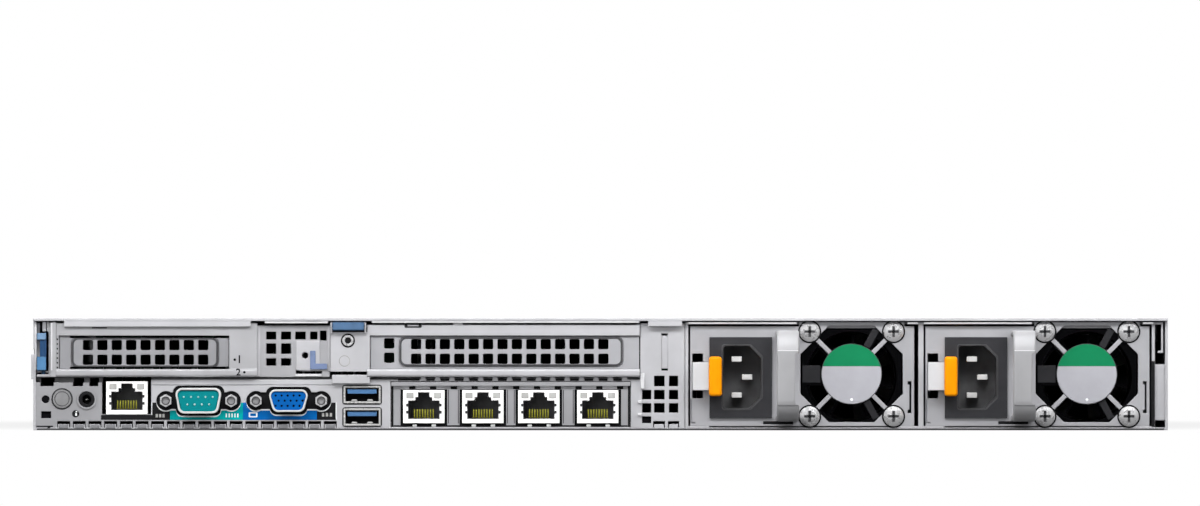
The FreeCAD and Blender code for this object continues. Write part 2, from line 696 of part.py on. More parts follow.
def psu_cage():
    """Dividers and top sheet that guide the two supplies."""
    depth = from_rear(0, CAGE_DEPTH)
    pieces = [block((CAGE_LEFT_X[0], CAGE_RIGHT_X[1]), depth, CAGE_TOP)]
    for x in (CAGE_LEFT_X, CAGE_MIDDLE_X, CAGE_RIGHT_X):
        pieces.append(block(x, depth, (SHEET, CAGE_TOP[1])))
    for left, right in ((CAGE_LEFT_X[1], CAGE_MIDDLE_X[0]), (CAGE_MIDDLE_X[1], CAGE_RIGHT_X[0])):
        pieces.append(block((left, left + CAGE_RAIL), depth, (SHEET, PSU_Z[0])))
        pieces.append(block((right - CAGE_RAIL, right), depth, (SHEET, PSU_Z[0])))
    pieces.append(block((CAGE_RIGHT_X[0], INNER), from_rear(*GUSSET_DEPTH), GUSSET_Z))
    hook_depth = from_rear(0, RAIL_HOOK_DEPTH)
    tip_reach, tip_thick = RAIL_HOOK_TIP
    tip_x = (RAIL_HOOK_X[0] - tip_reach, RAIL_HOOK_X[1])
    pieces.append(block((CAGE_RIGHT_X[0], RAIL_HOOK_X[1]), hook_depth, CAGE_TOP))
    pieces.append(block(RAIL_HOOK_X, hook_depth, (RAIL_HOOK_Z, CAGE_TOP[1])))
    pieces.append(block(tip_x, hook_depth, (RAIL_HOOK_Z, RAIL_HOOK_Z + tip_thick)))
    notches = []
    for shift in (0, PSU_PITCH):
        notch_x = grown((FAN_PLATE_X[0] + shift, FAN_PLATE_X[1] + shift), CAGE_NOTCH_SIDE)
        notches.append(block(notch_x, from_rear(-PAST, CAGE_NOTCH_DEPTH), grown(CAGE_TOP, FIT)))
    return joined(pieces).cut(notches)


def stamped(starts, width, y):
    """Shallow panels with rounded corners, sunk into a cover's top from the given left edges."""
    sunk = (HEIGHT - PANEL_SINK, HEIGHT + PAST)
    return [pillow((x, x + width), y, sunk, PANEL_CORNER) for x in starts]


def front_cover():
    lid = block((-HALF, HALF), (COVER_SEAM + COVER_GAP, BAY_FRONT), (COVER_UNDER, HEIGHT))
    return lid.cut(stamped(FRONT_PANEL_X, FRONT_PANEL_WIDTH, FRONT_PANEL_Y))


# Ports


def network_jack(left, bottom):
    """A shielded eight-contact jack with a keyed mouth that faces the rear."""
    depth = from_rear(-NET_PROUD, NET_DEPTH - NET_PROUD)
    body = block((left, left + NET_WIDTH), depth, (bottom, bottom + NET_HEIGHT))
    cavity = (depth[0] - PAST, depth[0] + NET_CAVITY)
    steps = []
    for width, low, high in NET_MOUTH:
        steps.append(block(centred(left + NET_WIDTH / 2, width), cavity, (bottom + low, bottom + high)))
    return body.cut(joined(steps))


def service_jack():
    return network_jack(*SERVICE_JACK)


def lan_card():
    """Network card: its board lies on the tray floor and carries four jacks."""
    board = block(LAN_BOARD_X, from_rear(*LAN_BOARD_DEPTH), (SHEET, LAN_JACK_Z))
    return group([board] + [network_jack(x, LAN_JACK_Z) for x in LAN_JACK_X])


def lan_bracket():
    """Face plate of the network card, cut out round the jacks, with a folded lip and slots above them."""
    near, far = BRACKET_FACE
    plate = block(BRACKET_X, from_rear(near, far), (SHEET, BRACKET_LIP_Z[1]))
    lip = block(BRACKET_X, from_rear(-BRACKET_LIP, far), BRACKET_LIP_Z)
    side, above = BRACKET_JACK_ROOM
    cut_depth = from_rear(0, far + PAST)
    tools = []
    for x in LAN_JACK_X:
        tools.append(block(grown((x, x + NET_WIDTH), side), cut_depth, (0, LAN_JACK_Z + NET_HEIGHT + above)))
    for i in range(BRACKET_SLOT_COUNT):
        slot_x = [edge + i * BRACKET_SLOT_PITCH for edge in BRACKET_SLOT_FIRST_X]
        tools.append(block(slot_x, cut_depth, BRACKET_SLOT_Z))
    return joined([plate, lip]).cut(tools)


def d_connector(centre_x, shell, face):
    """A D connector: mounting flange behind the wall, metal shell, and insulator up to a face."""
    inset = [half - D_SHELL_WALL for half in shell]
    wide, tall, corner = D_FLANGE
    flange_outline = rectangle(centred(centre_x, wide), centred(D_CENTRE_Z, tall))
    near, far = D_FLANGE_DEPTH
    flange = prism(flange_outline, from_rear(near, far), corner)
    body = block(centred(centre_x, D_BODY_WIDTH), from_rear(far, D_BODY_DEPTH), (BOARD_TOP, D_BODY_TOP))
    mouth = from_rear(-D_SHELL_REACH, near)
    outer = prism(d_outline(centre_x, *shell), mouth, D_SHELL_R)
    bore = d_outline(centre_x, *inset)
    inner = prism(bore, mouth, D_SHELL_R - D_SHELL_WALL)
    insulator = prism(bore, from_rear(face, near), D_SHELL_R - D_SHELL_WALL)
    return [flange, body, outer.cut(inner), insulator]


def serial_port():
    """Nine-pin connector with its pins standing inside the shell."""
    pieces = d_connector(SERIAL_X, SERIAL_SHELL, SERIAL_FACE)
    for count, rise in SERIAL_ROWS:
        for i in range(count):
            x = SERIAL_X + (i - (count - 1) / 2) * SERIAL_PIN_PITCH
            pieces.append(rod(x, D_CENTRE_Z + rise, D_PIN_R, from_rear(SERIAL_PIN_TIP, 0)))
    return joined(pieces)


def video_port():
    """Fifteen-way connector: three rows of contact holes in a filled shell."""
    pieces = d_connector(VIDEO_X, VIDEO_SHELL, VIDEO_FACE)
    sockets = []
    for shift, rise in VIDEO_ROWS:
        for i in range(VIDEO_COLUMNS):
            x = VIDEO_X + shift + (i - (VIDEO_COLUMNS - 1) / 2) * VIDEO_PIN_PITCH
            sockets.append(rod(x, D_CENTRE_Z + rise, D_PIN_R, from_rear(-D_SHELL_REACH, VIDEO_SOCKET_END)))
    return joined(pieces).cut(sockets)


def hexagon(x, z, radius):
    """Corners of a hexagon that stands on a point."""
    angles = [math.radians(60 * i + 30) for i in range(6)]
    return [(x + radius * math.cos(angle), z + radius * math.sin(angle)) for angle in angles]


def port_jackscrews():
    """Hexagonal jackscrews beside both D connectors."""
    depth = from_rear(-JACKSCREW_REACH, D_FLANGE_DEPTH[0])
    screws = []
    for centre_x in (SERIAL_X, VIDEO_X):
        for side in (-1, 1):
            x = centre_x + side * D_SCREW_PITCH / 2
            bore = rod(x, D_CENTRE_Z, JACKSCREW_HOLE_R, depth)
            screws.append(prism(hexagon(x, D_CENTRE_Z, JACKSCREW_HEX), depth).cut(bore))
    return group(screws)


def usb_ports():
    """Two stacked sockets, each a thin shell around a contact tongue, on one housing."""
    sockets = [block(USB_X, from_rear(*USB_HOUSING), (BOARD_TOP, USB_Z[0][1]))]
    below, above = USB_TONGUE_BELOW
    for z in USB_Z:
        shell = block(USB_X, from_rear(-USB_PROUD, USB_DEPTH), z)
        cavity = block(grown(USB_X, -USB_WALL), from_rear(-PAST, USB_CAVITY), grown(z, -USB_WALL))
        tongue = block(grown(USB_X, -USB_TONGUE_SIDE), from_rear(*USB_TONGUE), (z[1] - below, z[1] - above))
        sockets.append(shell.cut(cavity).fuse(tongue))
    return joined(sockets)


def id_button():
    x, z, radius = ID_BUTTON
    cap = rod(x, z, radius, from_rear(-ID_BUTTON_PROUD, ID_BUTTON_DEPTH))
    stem = rod(x, z, ID_STEM_R, from_rear(ID_BUTTON_DEPTH, ID_STEM_END))
    return joined([cap, stem])


def id_jack():
    """Round socket for a status-lamp lead, with its body on the system board."""
    x, z, radius = ID_JACK
    width, end, top = JACK_BODY
    barrel = rod(x, z, radius, from_rear(-JACK_PROUD, JACK_NECK))
    body = block(centred(x, width), from_rear(JACK_NECK, end), (BOARD_TOP, top))
    bore = rod(x, z, JACK_BORE_R, from_rear(-PAST, JACK_BORE_DEPTH - JACK_PROUD))
    return joined([barrel, body]).cut(bore)


# Boards and cooling


def dimm_places():
    """X and Y centre of every memory module: a bank on each side of both processors."""
    places = []
    for cpu_x in CPU_X:
        for side in (-1, 1):
            for i in range(DIMM_BANK):
                places.append((cpu_x + side * (DIMM_OFFSET + i * DIMM_PITCH), CPU_Y))
    return places


def on_board(x, y, size):
    """A box of (width, length, height) that stands on the system board, centred at x and y."""
    width, length, tall = size
    return block(centred(x, width), centred(y, length), (BOARD_TOP, BOARD_TOP + tall))


def system_board():
    """Main board, and on it the memory sockets, the processor sockets and the button's switch."""
    thick = (BOARD_TOP - BOARD_THICK, BOARD_TOP)
    wide = block(BOARD_X, (BOARD_NECK_Y, BOARD_FRONT), thick)
    neck = block((BOARD_X[0], BOARD_NECK_END), (REAR + BOARD_REAR_GAP, BOARD_NECK_Y), thick)
    cut_z = grown(thick, PAST)
    usb_notch = block(grown(USB_X, USB_NOTCH_GAP), from_rear(0, USB_DEPTH + USB_NOTCH_GAP), cut_z)
    lan_notch = block(LAN_BAY_X, from_rear(0, LAN_NOTCH_DEPTH), cut_z)
    pieces = [joined([wide, neck]).cut([usb_notch, lan_notch])]
    pieces += [on_board(x, y, DIMM_SOCKET) for x, y in dimm_places()]
    pieces += [on_board(x, CPU_Y, CPU_SOCKET) for x in CPU_X]
    width, end, top = ID_SWITCH
    switch_y = from_rear(ID_STEM_END + ID_TRAVEL + 2 * FIT, end)
    pieces.append(block(centred(ID_BUTTON[0], width), switch_y, (BOARD_TOP, top)))
    return group(pieces)


def memory_modules():
    modules = []
    width, length, tall = DIMM_SIZE
    chip_thick, chip_length = CHIP_SIZE
    bottom = BOARD_TOP + DIMM_SOCKET[2]
    chip_z = (bottom + CHIP_Z[0], bottom + CHIP_Z[1])
    for x, y in dimm_places():
        pieces = [block(centred(x, width), centred(y, length), (bottom, bottom + tall))]
        for i in range(CHIP_COUNT):
            chip_y = y + (i - (CHIP_COUNT - 1) / 2) * CHIP_PITCH
            pieces.append(block(centred(x, chip_thick), centred(chip_y, chip_length), chip_z))
        modules.append(joined(pieces))
    return group(modules)


def cpu_heatsinks():
    sinks = []
    width, length, tall = SINK_SIZE
    bottom = BOARD_TOP + CPU_SOCKET[2]
    y = centred(CPU_Y, length)
    for x in CPU_X:
        pieces = [block(centred(x, width), y, (bottom, bottom + SINK_BASE))]
        for i in range(SINK_FINS):
            fin_x = x + (i / (SINK_FINS - 1) - 0.5) * (width - SINK_FIN)
            pieces.append(block(centred(fin_x, SINK_FIN), y, (bottom + SINK_BASE, bottom + tall)))
        sinks.append(joined(pieces))
    return group(sinks)


def riser_boards():
    """Upright riser cards that stand on the system board, each with a slot connector."""
    boards = []
    start, end = RISER_BOARD_DEPTH
    for wall_x, side in ((RISER_LEFT_X[1] - SHEET, -1), (RISER_RIGHT_X[0] + SHEET, 1)):
        face_x = wall_x + side * RISER_BOARD_THICK
        board = block(sorted((wall_x, face_x)), from_rear(start, end), (BOARD_TOP, RISER_BOARD_TOP))
        slot_x = sorted((face_x, face_x + side * RISER_SLOT_WIDTH))
        slot = block(slot_x, from_rear(RISER_SLOT_START, end), RISER_SLOT_Z)
        boards.append(joined([board, slot]))
    return group(boards)


def fan_frame(x, z, y, size, strut_list):
    """Boxed frame of a fan that blows along Y, with struts that carry the motor base and its bearing."""
    width, height = size
    bore_r = fan_bore(size)
    base_y = (y[0], y[0] + FAN_BASE)
    bearing_r, bearing_length = FAN_BEARING
    pieces = [block(centred(x, width), y, centred(z, height)).cut(rod(x, z, bore_r, y))]
    pieces.append(rod(x, z, bore_r * FAN_HUB_SHARE, base_y))
    pieces.append(rod(x, z, bearing_r, (y[0], y[0] + bearing_length)))
    for angle, strut_width in strut_list:
        strut = block((0, bore_r + FAN_RIM / 2), base_y, centred(0, strut_width))
        pieces.append(turned(strut, angle, x, z))
    shaft_hole = rod(x, z, SHAFT_R + RUNNING, (y[0] - PAST, y[0] + bearing_length + PAST))
    return joined(pieces).cut(shaft_hole)


def fan_bore(size):
    """Radius of the round opening in a fan frame of a given width and height."""
    return min(size) / 2 - FAN_RIM


def blade_section(radius, lean, y):
    """Outline of a fan blade at one radius, leaning sideways over its length."""
    corners = [
        vector(radius, y[0], -lean),
        vector(radius, y[0], BLADE_THICK - lean),
        vector(radius, y[1], lean),
        vector(radius, y[1], lean - BLADE_THICK),
    ]
    return Part.makePolygon(corners + corners[:1])


def fan_rotor(x, z, y, size):
    """Cup, shaft and twisted blades, which lean more at their round tips than at the root."""
    bore_r = fan_bore(size)
    hub_r, tip_r = bore_r * FAN_HUB_SHARE, bore_r - FAN_TIP_GAP
    start, end = y[0] + FAN_BASE + FAN_ROTOR_GAP, y[1] - FAN_MOUTH
    hollow = rod(x, z, hub_r - FAN_CUP_WALL, (start, end - FAN_CUP_WALL))
    pieces = [rod(x, z, hub_r, (start, end)).cut(hollow)]
    pieces.append(rod(x, z, SHAFT_R, (y[0] + SHAFT_START, end)))
    blade_y = (start + BLADE_INSET, min(end - BLADE_INSET, start + BLADE_LENGTH))
    root = blade_section(hub_r - BLADE_ROOT_SINK, tip_r * BLADE_LEAN[0], blade_y)
    tip = blade_section(tip_r + PAST, tip_r * BLADE_LEAN[1], blade_y)
    blade = Part.makeLoft([root, tip], True, True).common(rod(0, 0, tip_r, blade_y))
    for i in range(FAN_BLADES):
        pieces.append(turned(blade.copy(), 360.0 * i / FAN_BLADES, x, z))
    return joined(pieces)


def system_fans():
    """The row of fans behind the drive bays: all frames as one group, and each rotor."""
    size = SYSTEM_FAN_SIZE
    middle_z = SHEET + size[1] / 2
    frames = [fan_frame(x, middle_z, SYSTEM_FAN_Y, size, SYSTEM_FAN_STRUTS) for x in SYSTEM_FAN_X]
    rotors = [fan_rotor(x, middle_z, SYSTEM_FAN_Y, size) for x in SYSTEM_FAN_X]
    return group(frames), rotors


# Risers


def vent_island(x, z, columns, first_x):
    """Raised, rounded panel of a slot filler, with the square vents and the groove cut around it."""
    island = prism(rectangle(x, z), from_rear(*ISLAND_RISE), ISLAND_R)
    moat = from_rear(*GROOVE_DEPTH)
    bank = prism(rectangle(grown(x, GROOVE), grown(z, GROOVE)), moat, ISLAND_R + GROOVE)
    cuts = [bank.cut(prism(rectangle(x, z), moat, ISLAND_R))]
    middle = (z[0] + z[1]) / 2
    rows = [centred(middle + side * VENT_ROW_PITCH / 2, VENT_HOLE) for side in (-1, 1)]
    for i in range(columns):
        hole_x = first_x + i * VENT_PITCH
        cuts += [prism(rectangle((hole_x, hole_x + VENT_HOLE), row), VENT_CUT, VENT_R) for row in rows]
    return island, cuts


def slot_filler_left():
    x = grown(SLOT_LEFT_X, -FILLER_GAP)
    depth = from_rear(*FILLER_DEPTH)
    plate = block(x, depth, FILLER_LEFT_Z)
    heel = block((x[0], FILLER_HEEL_END), depth, (SLOT_Z[0], SLOT_Z[1] - FILLER_GAP))
    island, cuts = vent_island(*ISLAND_LEFT, *ISLAND_LEFT_VENTS)
    return joined([plate, heel, island]).cut(cuts)


def slot_filler_right():
    x = grown((RISER_RIGHT_X[0] + SHEET, RISER_RIGHT_X[1]), -FILLER_GAP)
    plate = block(x, from_rear(*FILLER_DEPTH), (SLOT_Z[0], SLOT_Z[1] - FILLER_GAP))
    island, cuts = vent_island(*ISLAND_RIGHT, *ISLAND_RIGHT_VENTS)
    cuts += [prism(rectangle(SIDE_VENT_X, z), VENT_CUT, VENT_R) for z in SIDE_VENT_Z]
    return joined([plate, island]).cut(cuts)


def hem_lip(x):
    """Folded lower edge of a riser cage, rounded where it shows."""
    return side_prism(rectangle(from_rear(*HEM_REACH), (SHELF, SLOT_Z[0])), x, HEM_R)


def riser_left_cage():
    x = RISER_LEFT_X
    front, behind = RISER_FACE
    post_z = (SHELF, POST_TOP)
    foot_z = (SHELF, SHELF + SHEET)
    window = block(SLOT_LEFT_X, from_rear(front - PAST, behind + PAST), SLOT_Z)
    sheets = [
        block(x, from_rear(front, behind), (SHELF, RISER_LEFT_TOP)).cut(window),
        hem_lip(x),
        block(x, from_rear(front, RISER_FLOOR_DEPTH), foot_z),
        block((x[1] - SHEET, x[1]), from_rear(front, RISER_DEPTH), (SHELF, RISER_WALL_TOP)),
        block(POST_X, from_rear(*POST_DEPTH), post_z),
        block(POST_FRONT_X, from_rear(*POST_FRONT_DEPTH), post_z),
        block(POST_TOE_X, from_rear(*POST_TOE_DEPTH), POST_TOE_Z),
        block(LUG_X, from_rear(*LUG_DEPTH), foot_z),
    ]
    pin_hole = upright(LATCH_LEFT_PIN, LATCH_PIN_R + RUNNING, grown(foot_z, PAST))
    return joined(sheets).cut(pin_hole)


def riser_right_cage():
    x = RISER_RIGHT_X
    front, behind = RISER_FACE
    face = from_rear(front, behind)
    web_end = x[0] + SHEET
    ear_left, ear_right = LATCH_PLATE_X
    foot_front, foot_behind = LATCH_FOOT_DEPTH
    sheets = [
        block(x, face, (SLOT_Z[1], RISER_RIGHT_TOP)),
        block((x[0], x[0] + RISER_JAMB), face, (SHELF, RISER_RIGHT_TOP)),
        hem_lip(x),
        block(x, from_rear(front, RISER_FLOOR_DEPTH), (SHELF, SHELF + SHEET)),
        block((x[0], web_end), from_rear(front, RISER_DEPTH), (SHELF, RISER_WALL_TOP)),
        block(x, from_rear(front, RISER_ROOF_DEPTH), (RISER_RIGHT_TOP - SHEET, RISER_RIGHT_TOP)),
        block((LATCH_PLATE_X[0], web_end), face, LATCH_PLATE_Z),
        block((LATCH_FOOT_X, web_end), from_rear(foot_front, foot_behind), LATCH_FOOT_Z),
        block((LATCH_FOOT_X, web_end), from_rear(foot_front, LATCH_NECK_END), (SHELF, LATCH_FOOT_Z[1])),
        block((ear_left, ear_left + LATCH_EAR), from_rear(*LATCH_EAR_REACH), LATCH_EAR_Z),
        block((ear_right - LATCH_EAR, ear_right), from_rear(*LATCH_EAR_REACH), LATCH_EAR_Z),
    ]
    pin_hole = pin_x(*LATCH_RIGHT_PIN, LATCH_PIN_R + RUNNING, (ear_left - PAST, ear_right))
    return joined(sheets).cut(pin_hole)


def riser_latch_left():
    """Blue swing latch that holds the low card's bracket."""
    bar_x, bar_depth, bar_z = LATCH_BAR
    pieces = [block(bar_x, from_rear(*bar_depth), bar_z)]
    for pad_z, pad_front in LATCH_PADS:
        pieces.append(prism(rectangle(LATCH_PAD_X, pad_z), from_rear(pad_front, LATCH_PAD_BACK), LATCH_PAD_R))
    pieces.append(upright(LATCH_LEFT_PIN, LATCH_PIN_R, (SHELF + FIT, LATCH_LEFT_PIN_TOP)))
    return joined(pieces)


def riser_latch_right():
    """Blue lever over the latch plate, hinged along its lower edge."""
    outline = [(REAR + y, z) for y, z in LATCH_LEVER]
    lever = side_prism(outline, grown(LATCH_PLATE_X, -LATCH_LEVER_SIDE), LATCH_LEVER_R)
    pin = pin_x(*LATCH_RIGHT_PIN, LATCH_PIN_R, grown(LATCH_PLATE_X, -FIT))
    return joined([lever, pin])


# Power supply, built at the left bay


def fan_screw_places():
    """X and Z of the four screws round the fan window."""
    (cx, cz), (pitch_x, pitch_z) = FAN_CENTRE, SCREW_PITCH
    return [(cx + a * pitch_x / 2, cz + b * pitch_z / 2) for a in (-1, 1) for b in (-1, 1)]


def finger_guard():
    """What the stamping takes out of the fan window: an octagon less the hub disc and its spokes."""
    cx, cz = FAN_CENTRE
    width, height, chamfer = FAN_WINDOW
    half_w, half_h = width / 2, height / 2
    octagon = [
        (cx - half_w, cz - half_h + chamfer),
        (cx - half_w + chamfer, cz - half_h),
        (cx + half_w - chamfer, cz - half_h),
        (cx + half_w, cz - half_h + chamfer),
        (cx + half_w, cz + half_h - chamfer),
        (cx + half_w - chamfer, cz + half_h),
        (cx - half_w + chamfer, cz + half_h),
        (cx - half_w, cz + half_h - chamfer),
    ]
    guard = [rod(cx, cz, HUB_DISC_R, WALL_CUT)]
    for angle in (45, 135):
        spoke = block(centred(0, SPOKE_SPAN), WALL_CUT, centred(0, SPOKE_WIDTH))
        guard.append(turned(spoke, angle, cx, cz))
    return prism(octagon, WALL_CUT, FAN_WINDOW_R).cut(guard)


def psu_case():
    """Sheet box with a stamped finger guard over the fan and openings for inlet and latch."""
    outer = block(PSU_X, from_rear(0, PSU_DEPTH), PSU_Z)
    inner = block(grown(PSU_X, -PSU_WALL), from_rear(PSU_WALL, PSU_DEPTH - PSU_WALL), grown(PSU_Z, -PSU_WALL))
    crown = block(FAN_PLATE_X, from_rear(0, FAN_PLATE_DEPTH), (PSU_Z[1] - PSU_WALL, FAN_PLATE_TOP))
    post = upright(LATCH_POST, LATCH_POST_R, PSU_Z)
    box = joined([joined([outer, crown]).cut(inner), post])
    inlet_inset = FIT - INLET_LAP
    tools = [finger_guard(), block(grown(INLET_X, inlet_inset), WALL_CUT, grown(INLET_Z, inlet_inset))]
    tools += [block(x, WALL_CUT, z) for x, z in FACE_SLOTS]
    tools += [block(x, from_rear(-PAST, SLIT_DEPTH), z) for x, z in EDGE_SLITS]
    tools += [rod(x, z, SCREW_HOLE_R, WALL_CUT) for x, z in fan_screw_places()]
    return box.cut(tools)


def psu_inlet():
    """Appliance inlet: flanged insulating body, keyed socket and three blade pins."""
    flange = block(INLET_X, from_rear(-INLET_FLANGE, 0), INLET_Z)
    body = block(grown(INLET_X, -INLET_LAP), from_rear(0, INLET_DEPTH), grown(INLET_Z, -INLET_LAP))
    (x0, x1), (z0, z1) = INLET_SOCKET_X, INLET_SOCKET_Z
    keyed = [
        (x0, z0),
        (x1 - INLET_CHAMFER, z0),
        (x1, z0 + INLET_CHAMFER),
        (x1, z1 - INLET_CHAMFER),
        (x1 - INLET_CHAMFER, z1),
        (x0, z1),
    ]
    socket = prism(keyed, from_rear(-INLET_FLANGE - PAST, SOCKET_FLOOR), INLET_SOCKET_R)
    pins = []
    for x, z in BLADE_PINS:
        pins.append(block(centred(x, BLADE_PIN[0]), from_rear(*BLADE_PIN_DEPTH), centred(z, BLADE_PIN[1])))
    return joined([joined([flange, body]).cut(socket)] + pins)


def psu_handle():
    """Bail of bent strip: two legs on the face and a grip with a waist between them, with softened edges."""
    reach = REAR - HANDLE_REACH
    back = REAR + HANDLE_TAIL
    outer = side_prism(rectangle((reach, back), HANDLE_Z), HANDLE_X, HANDLE_BEND)
    hollow = rectangle((reach + HANDLE_THICK, back + HANDLE_TAIL), grown(HANDLE_Z, -HANDLE_THICK))
    inner = side_prism(hollow, grown(HANDLE_X, PAST), HANDLE_BEND - HANDLE_THICK)
    bail = outer.cut(inner).common(block(grown(HANDLE_X, PAST), (reach - PAST, REAR), (0, HEIGHT)))
    rims = [edge for edge in bail.Edges if edge.BoundBox.XLength < TINY and edge.BoundBox.YMin < REAR - TINY]
    waist = prism(rectangle(*HANDLE_WAIST), (reach - PAST, REAR), HANDLE_WAIST_R)
    return bail.makeFillet(HANDLE_SOFT, rims).cut(waist)


def psu_fan_screws():
    """Pan-head cross screws that hold the fan behind the guard."""
    screws = []
    long_way, narrow = SCREW_CROSS
    recess_y = from_rear(-SCREW_HEAD_RISE - PAST, SCREW_CROSS_FLOOR)
    for x, z in fan_screw_places():
        dome = Part.makeSphere(SCREW_DOME_R, vector(x, REAR + SCREW_DOME_R - SCREW_HEAD_RISE, z))
        head = rod(x, z, SCREW_HEAD_R, from_rear(-SCREW_DOME_R, 0)).common(dome)
        shank = rod(x, z, SCREW_SHANK_R, from_rear(SCREW_SHANK_START, PSU_WALL))
        recess = [block(centred(x, long_way), recess_y, centred(z, narrow))]
        recess.append(block(centred(x, narrow), recess_y, centred(z, long_way)))
        screws.append(joined([head, shank]).cut(recess))
    return group(screws)


def psu_latch_arm():
    """Spring-steel arm that reaches out of the case and carries the tab."""
    x, z = LATCH_ARM_X, LATCH_ARM_Z
    front, behind = LATCH_ARM_FRONT
    leaf = block((x[0], x[0] + LATCH_LEAF), (REAR + front, LATCH_POST[1]), z)
    curl = upright(LATCH_POST, LATCH_POST_R + LATCH_CURL, z)
    bore = upright(LATCH_POST, LATCH_POST_R + RUNNING, z)
    return joined([leaf, block(x, from_rear(front, behind), z), curl]).cut(bore)


def psu_latch_tab():
    """Orange thumb pad that clips over the end of the latch arm."""
    pad = prism(rectangle(LATCH_TAB_X, LATCH_TAB_Z), from_rear(*LATCH_TAB_DEPTH), LATCH_TAB_R)
    brow = [edge for edge in pad.Edges if edge.BoundBox.YMax < REAR + LATCH_TAB_DEPTH[0] + TINY]
    return pad.makeFillet(LATCH_TAB_SOFT, brow)


def psu_pieces():
    fan_y = from_rear(PSU_WALL, PSU_FAN_END)
    fan_z = PSU_Z[0] + PSU_WALL + PSU_FAN_SIZE[1] / 2
    return {
        "case": psu_case(),
        "inlet": psu_inlet(),
        "handle": psu_handle(),
        "fan_frame": fan_frame(FAN_CENTRE[0], fan_z, fan_y, PSU_FAN_SIZE, PSU_FAN_STRUTS),
        "fan_screws": psu_fan_screws(),
        "rotor": fan_rotor(FAN_CENTRE[0], fan_z, fan_y, PSU_FAN_SIZE),
        "latch_arm": psu_latch_arm(),
        "latch_tab": psu_latch_tab(),
    }


# Drives and front


def bay_centre(index):
    return (index - (BAY_COUNT - 1) / 2) * BAY_PITCH


def drive_cage():
    """Partitions, upper shelf and vented brow of the drive bays."""
    depth = (BAY_CAGE_START, BAY_FRONT)
    pieces = [block((-INNER, INNER), depth, (BAY_TOP, BAY_TOP + SHEET))]
    for i in range(BAY_COUNT - 1):
        pieces.append(block(centred(bay_centre(i) + BAY_PITCH / 2, SHEET), depth, (SHEET, BAY_TOP)))
    brow_y = (BAY_FRONT - SHEET, BAY_FRONT)
    brow = block((-INNER, INNER), brow_y, (BAY_TOP, COVER_UNDER))
    slots = []
    for i in range(BROW_SLOT_COUNT):
        x = (i - (BROW_SLOT_COUNT - 1) / 2) * BROW_SLOT_PITCH
        slots.append(block(centred(x, BROW_SLOT_WIDTH), grown(brow_y, PAST), BROW_SLOT_Z))
    return joined(pieces + [brow.cut(slots)])


def drive_backplane():
    """Upright board behind the drives: a plug for each, and windows that let the air through."""
    pieces = [block(BOARD_X, BACKPLANE_Y, (SHEET, BACKPLANE_TOP))]
    plug_width, plug_length, plug_z = BACKPLANE_PLUG
    window_width, window_z = BACKPLANE_WINDOW
    windows = []
    for i in range(BAY_COUNT):
        x = bay_centre(i)
        pieces.append(block(centred(x, plug_width), (BACKPLANE_Y[1], BACKPLANE_Y[1] + plug_length), plug_z))
        windows.append(block(centred(x, window_width), grown(BACKPLANE_Y, PAST), window_z))
    return joined(pieces).cut(windows)


def lever_pivot(index):
    """Plan place of the pivot at the left end of a drive's lever."""
    return (bay_centre(index) - CARRIER_WIDTH / 2 + LEVER_PIVOT, BAY_FRONT + LEVER_THICK / 2)


def drive_carrier(index):
    """Sled with vented bezel, and the disk that it carries."""
    x = bay_centre(index)
    left, right = centred(x, CARRIER_WIDTH)
    low, high = CARRIER_Z
    ear_width, ear_height = CARRIER_EAR
    bezel_y = (BAY_FRONT - BEZEL_THICK, BAY_FRONT)
    pieces = [block((left, right), bezel_y, CARRIER_Z)]
    for rail_x in ((left, left + CARRIER_RAIL), (right - CARRIER_RAIL, right)):
        pieces.append(block(rail_x, (CARRIER_REAR, bezel_y[0]), (low, CARRIER_RAIL_TOP)))
    for ear_z in ((low, low + ear_height), (high - ear_height, high)):
        pieces.append(block((left, left + ear_width), (BAY_FRONT, BAY_FRONT + LEVER_THICK), ear_z))
    cuts = [upright(lever_pivot(index), SHAFT_R, (0, HEIGHT))]
    for i in range(BEZEL_SLOT_COUNT):
        slot_x = x + BEZEL_SLOT_SHIFT + (i - (BEZEL_SLOT_COUNT - 1) / 2) * BEZEL_SLOT_PITCH
        cuts += [block(centred(slot_x, BEZEL_SLOT_WIDTH), grown(bezel_y, PAST), z) for z in BEZEL_SLOT_Z]
    width, length, tall = DISK_SIZE
    disk_y = CARRIER_REAR + DISK_START
    disk = block(centred(x, width), (disk_y, disk_y + length), (low, low + tall))
    return group([joined(pieces).cut(cuts), disk])


def drive_lever(index):
    """Ejector lever across the bezel, on a vertical pivot at its left end."""
    left, right = centred(bay_centre(index), CARRIER_WIDTH)
    pivot = lever_pivot(index)
    bar_z = grown(CARRIER_Z, -LEVER_EAR_GAP)
    bar_y = (BAY_FRONT + LEVER_BAR_GAP, BAY_FRONT + LEVER_THICK)
    side, ends = LEVER_WINDOW
    opening = block((left + side, right - side), grown(bar_y, PAST), grown(bar_z, -ends))
    bar = block((pivot[0], right - LEVER_END_GAP), bar_y, bar_z).cut(opening)
    barrel = upright(pivot, LEVER_THICK / 2 - LEVER_BACK_GAP, bar_z)
    pin = upright(pivot, SHAFT_R - RUNNING, grown(CARRIER_Z, -LEVER_PIN_GAP))
    return joined([bar, barrel, pin])


def control_panel(side):
    """Moulded end block in front of a rack ear, beside the rack screw."""
    near = HALF + PANEL_GAP
    x = sorted((side * near, side * (near + PANEL_WIDTH)))
    panel = side_prism(rectangle((FLANGE, FRONT), PANEL_Z), x, PANEL_R)
    heel = block(x, (FLANGE, FLANGE + PANEL_HEEL), PANEL_Z)
    recess_y = (FRONT - POWER_RECESS_DEPTH, FRONT + PAST)
    return joined([panel, heel]).cut(rod(side * POWER_BUTTON_X, POWER_BUTTON_Z, POWER_RECESS_R, recess_y))


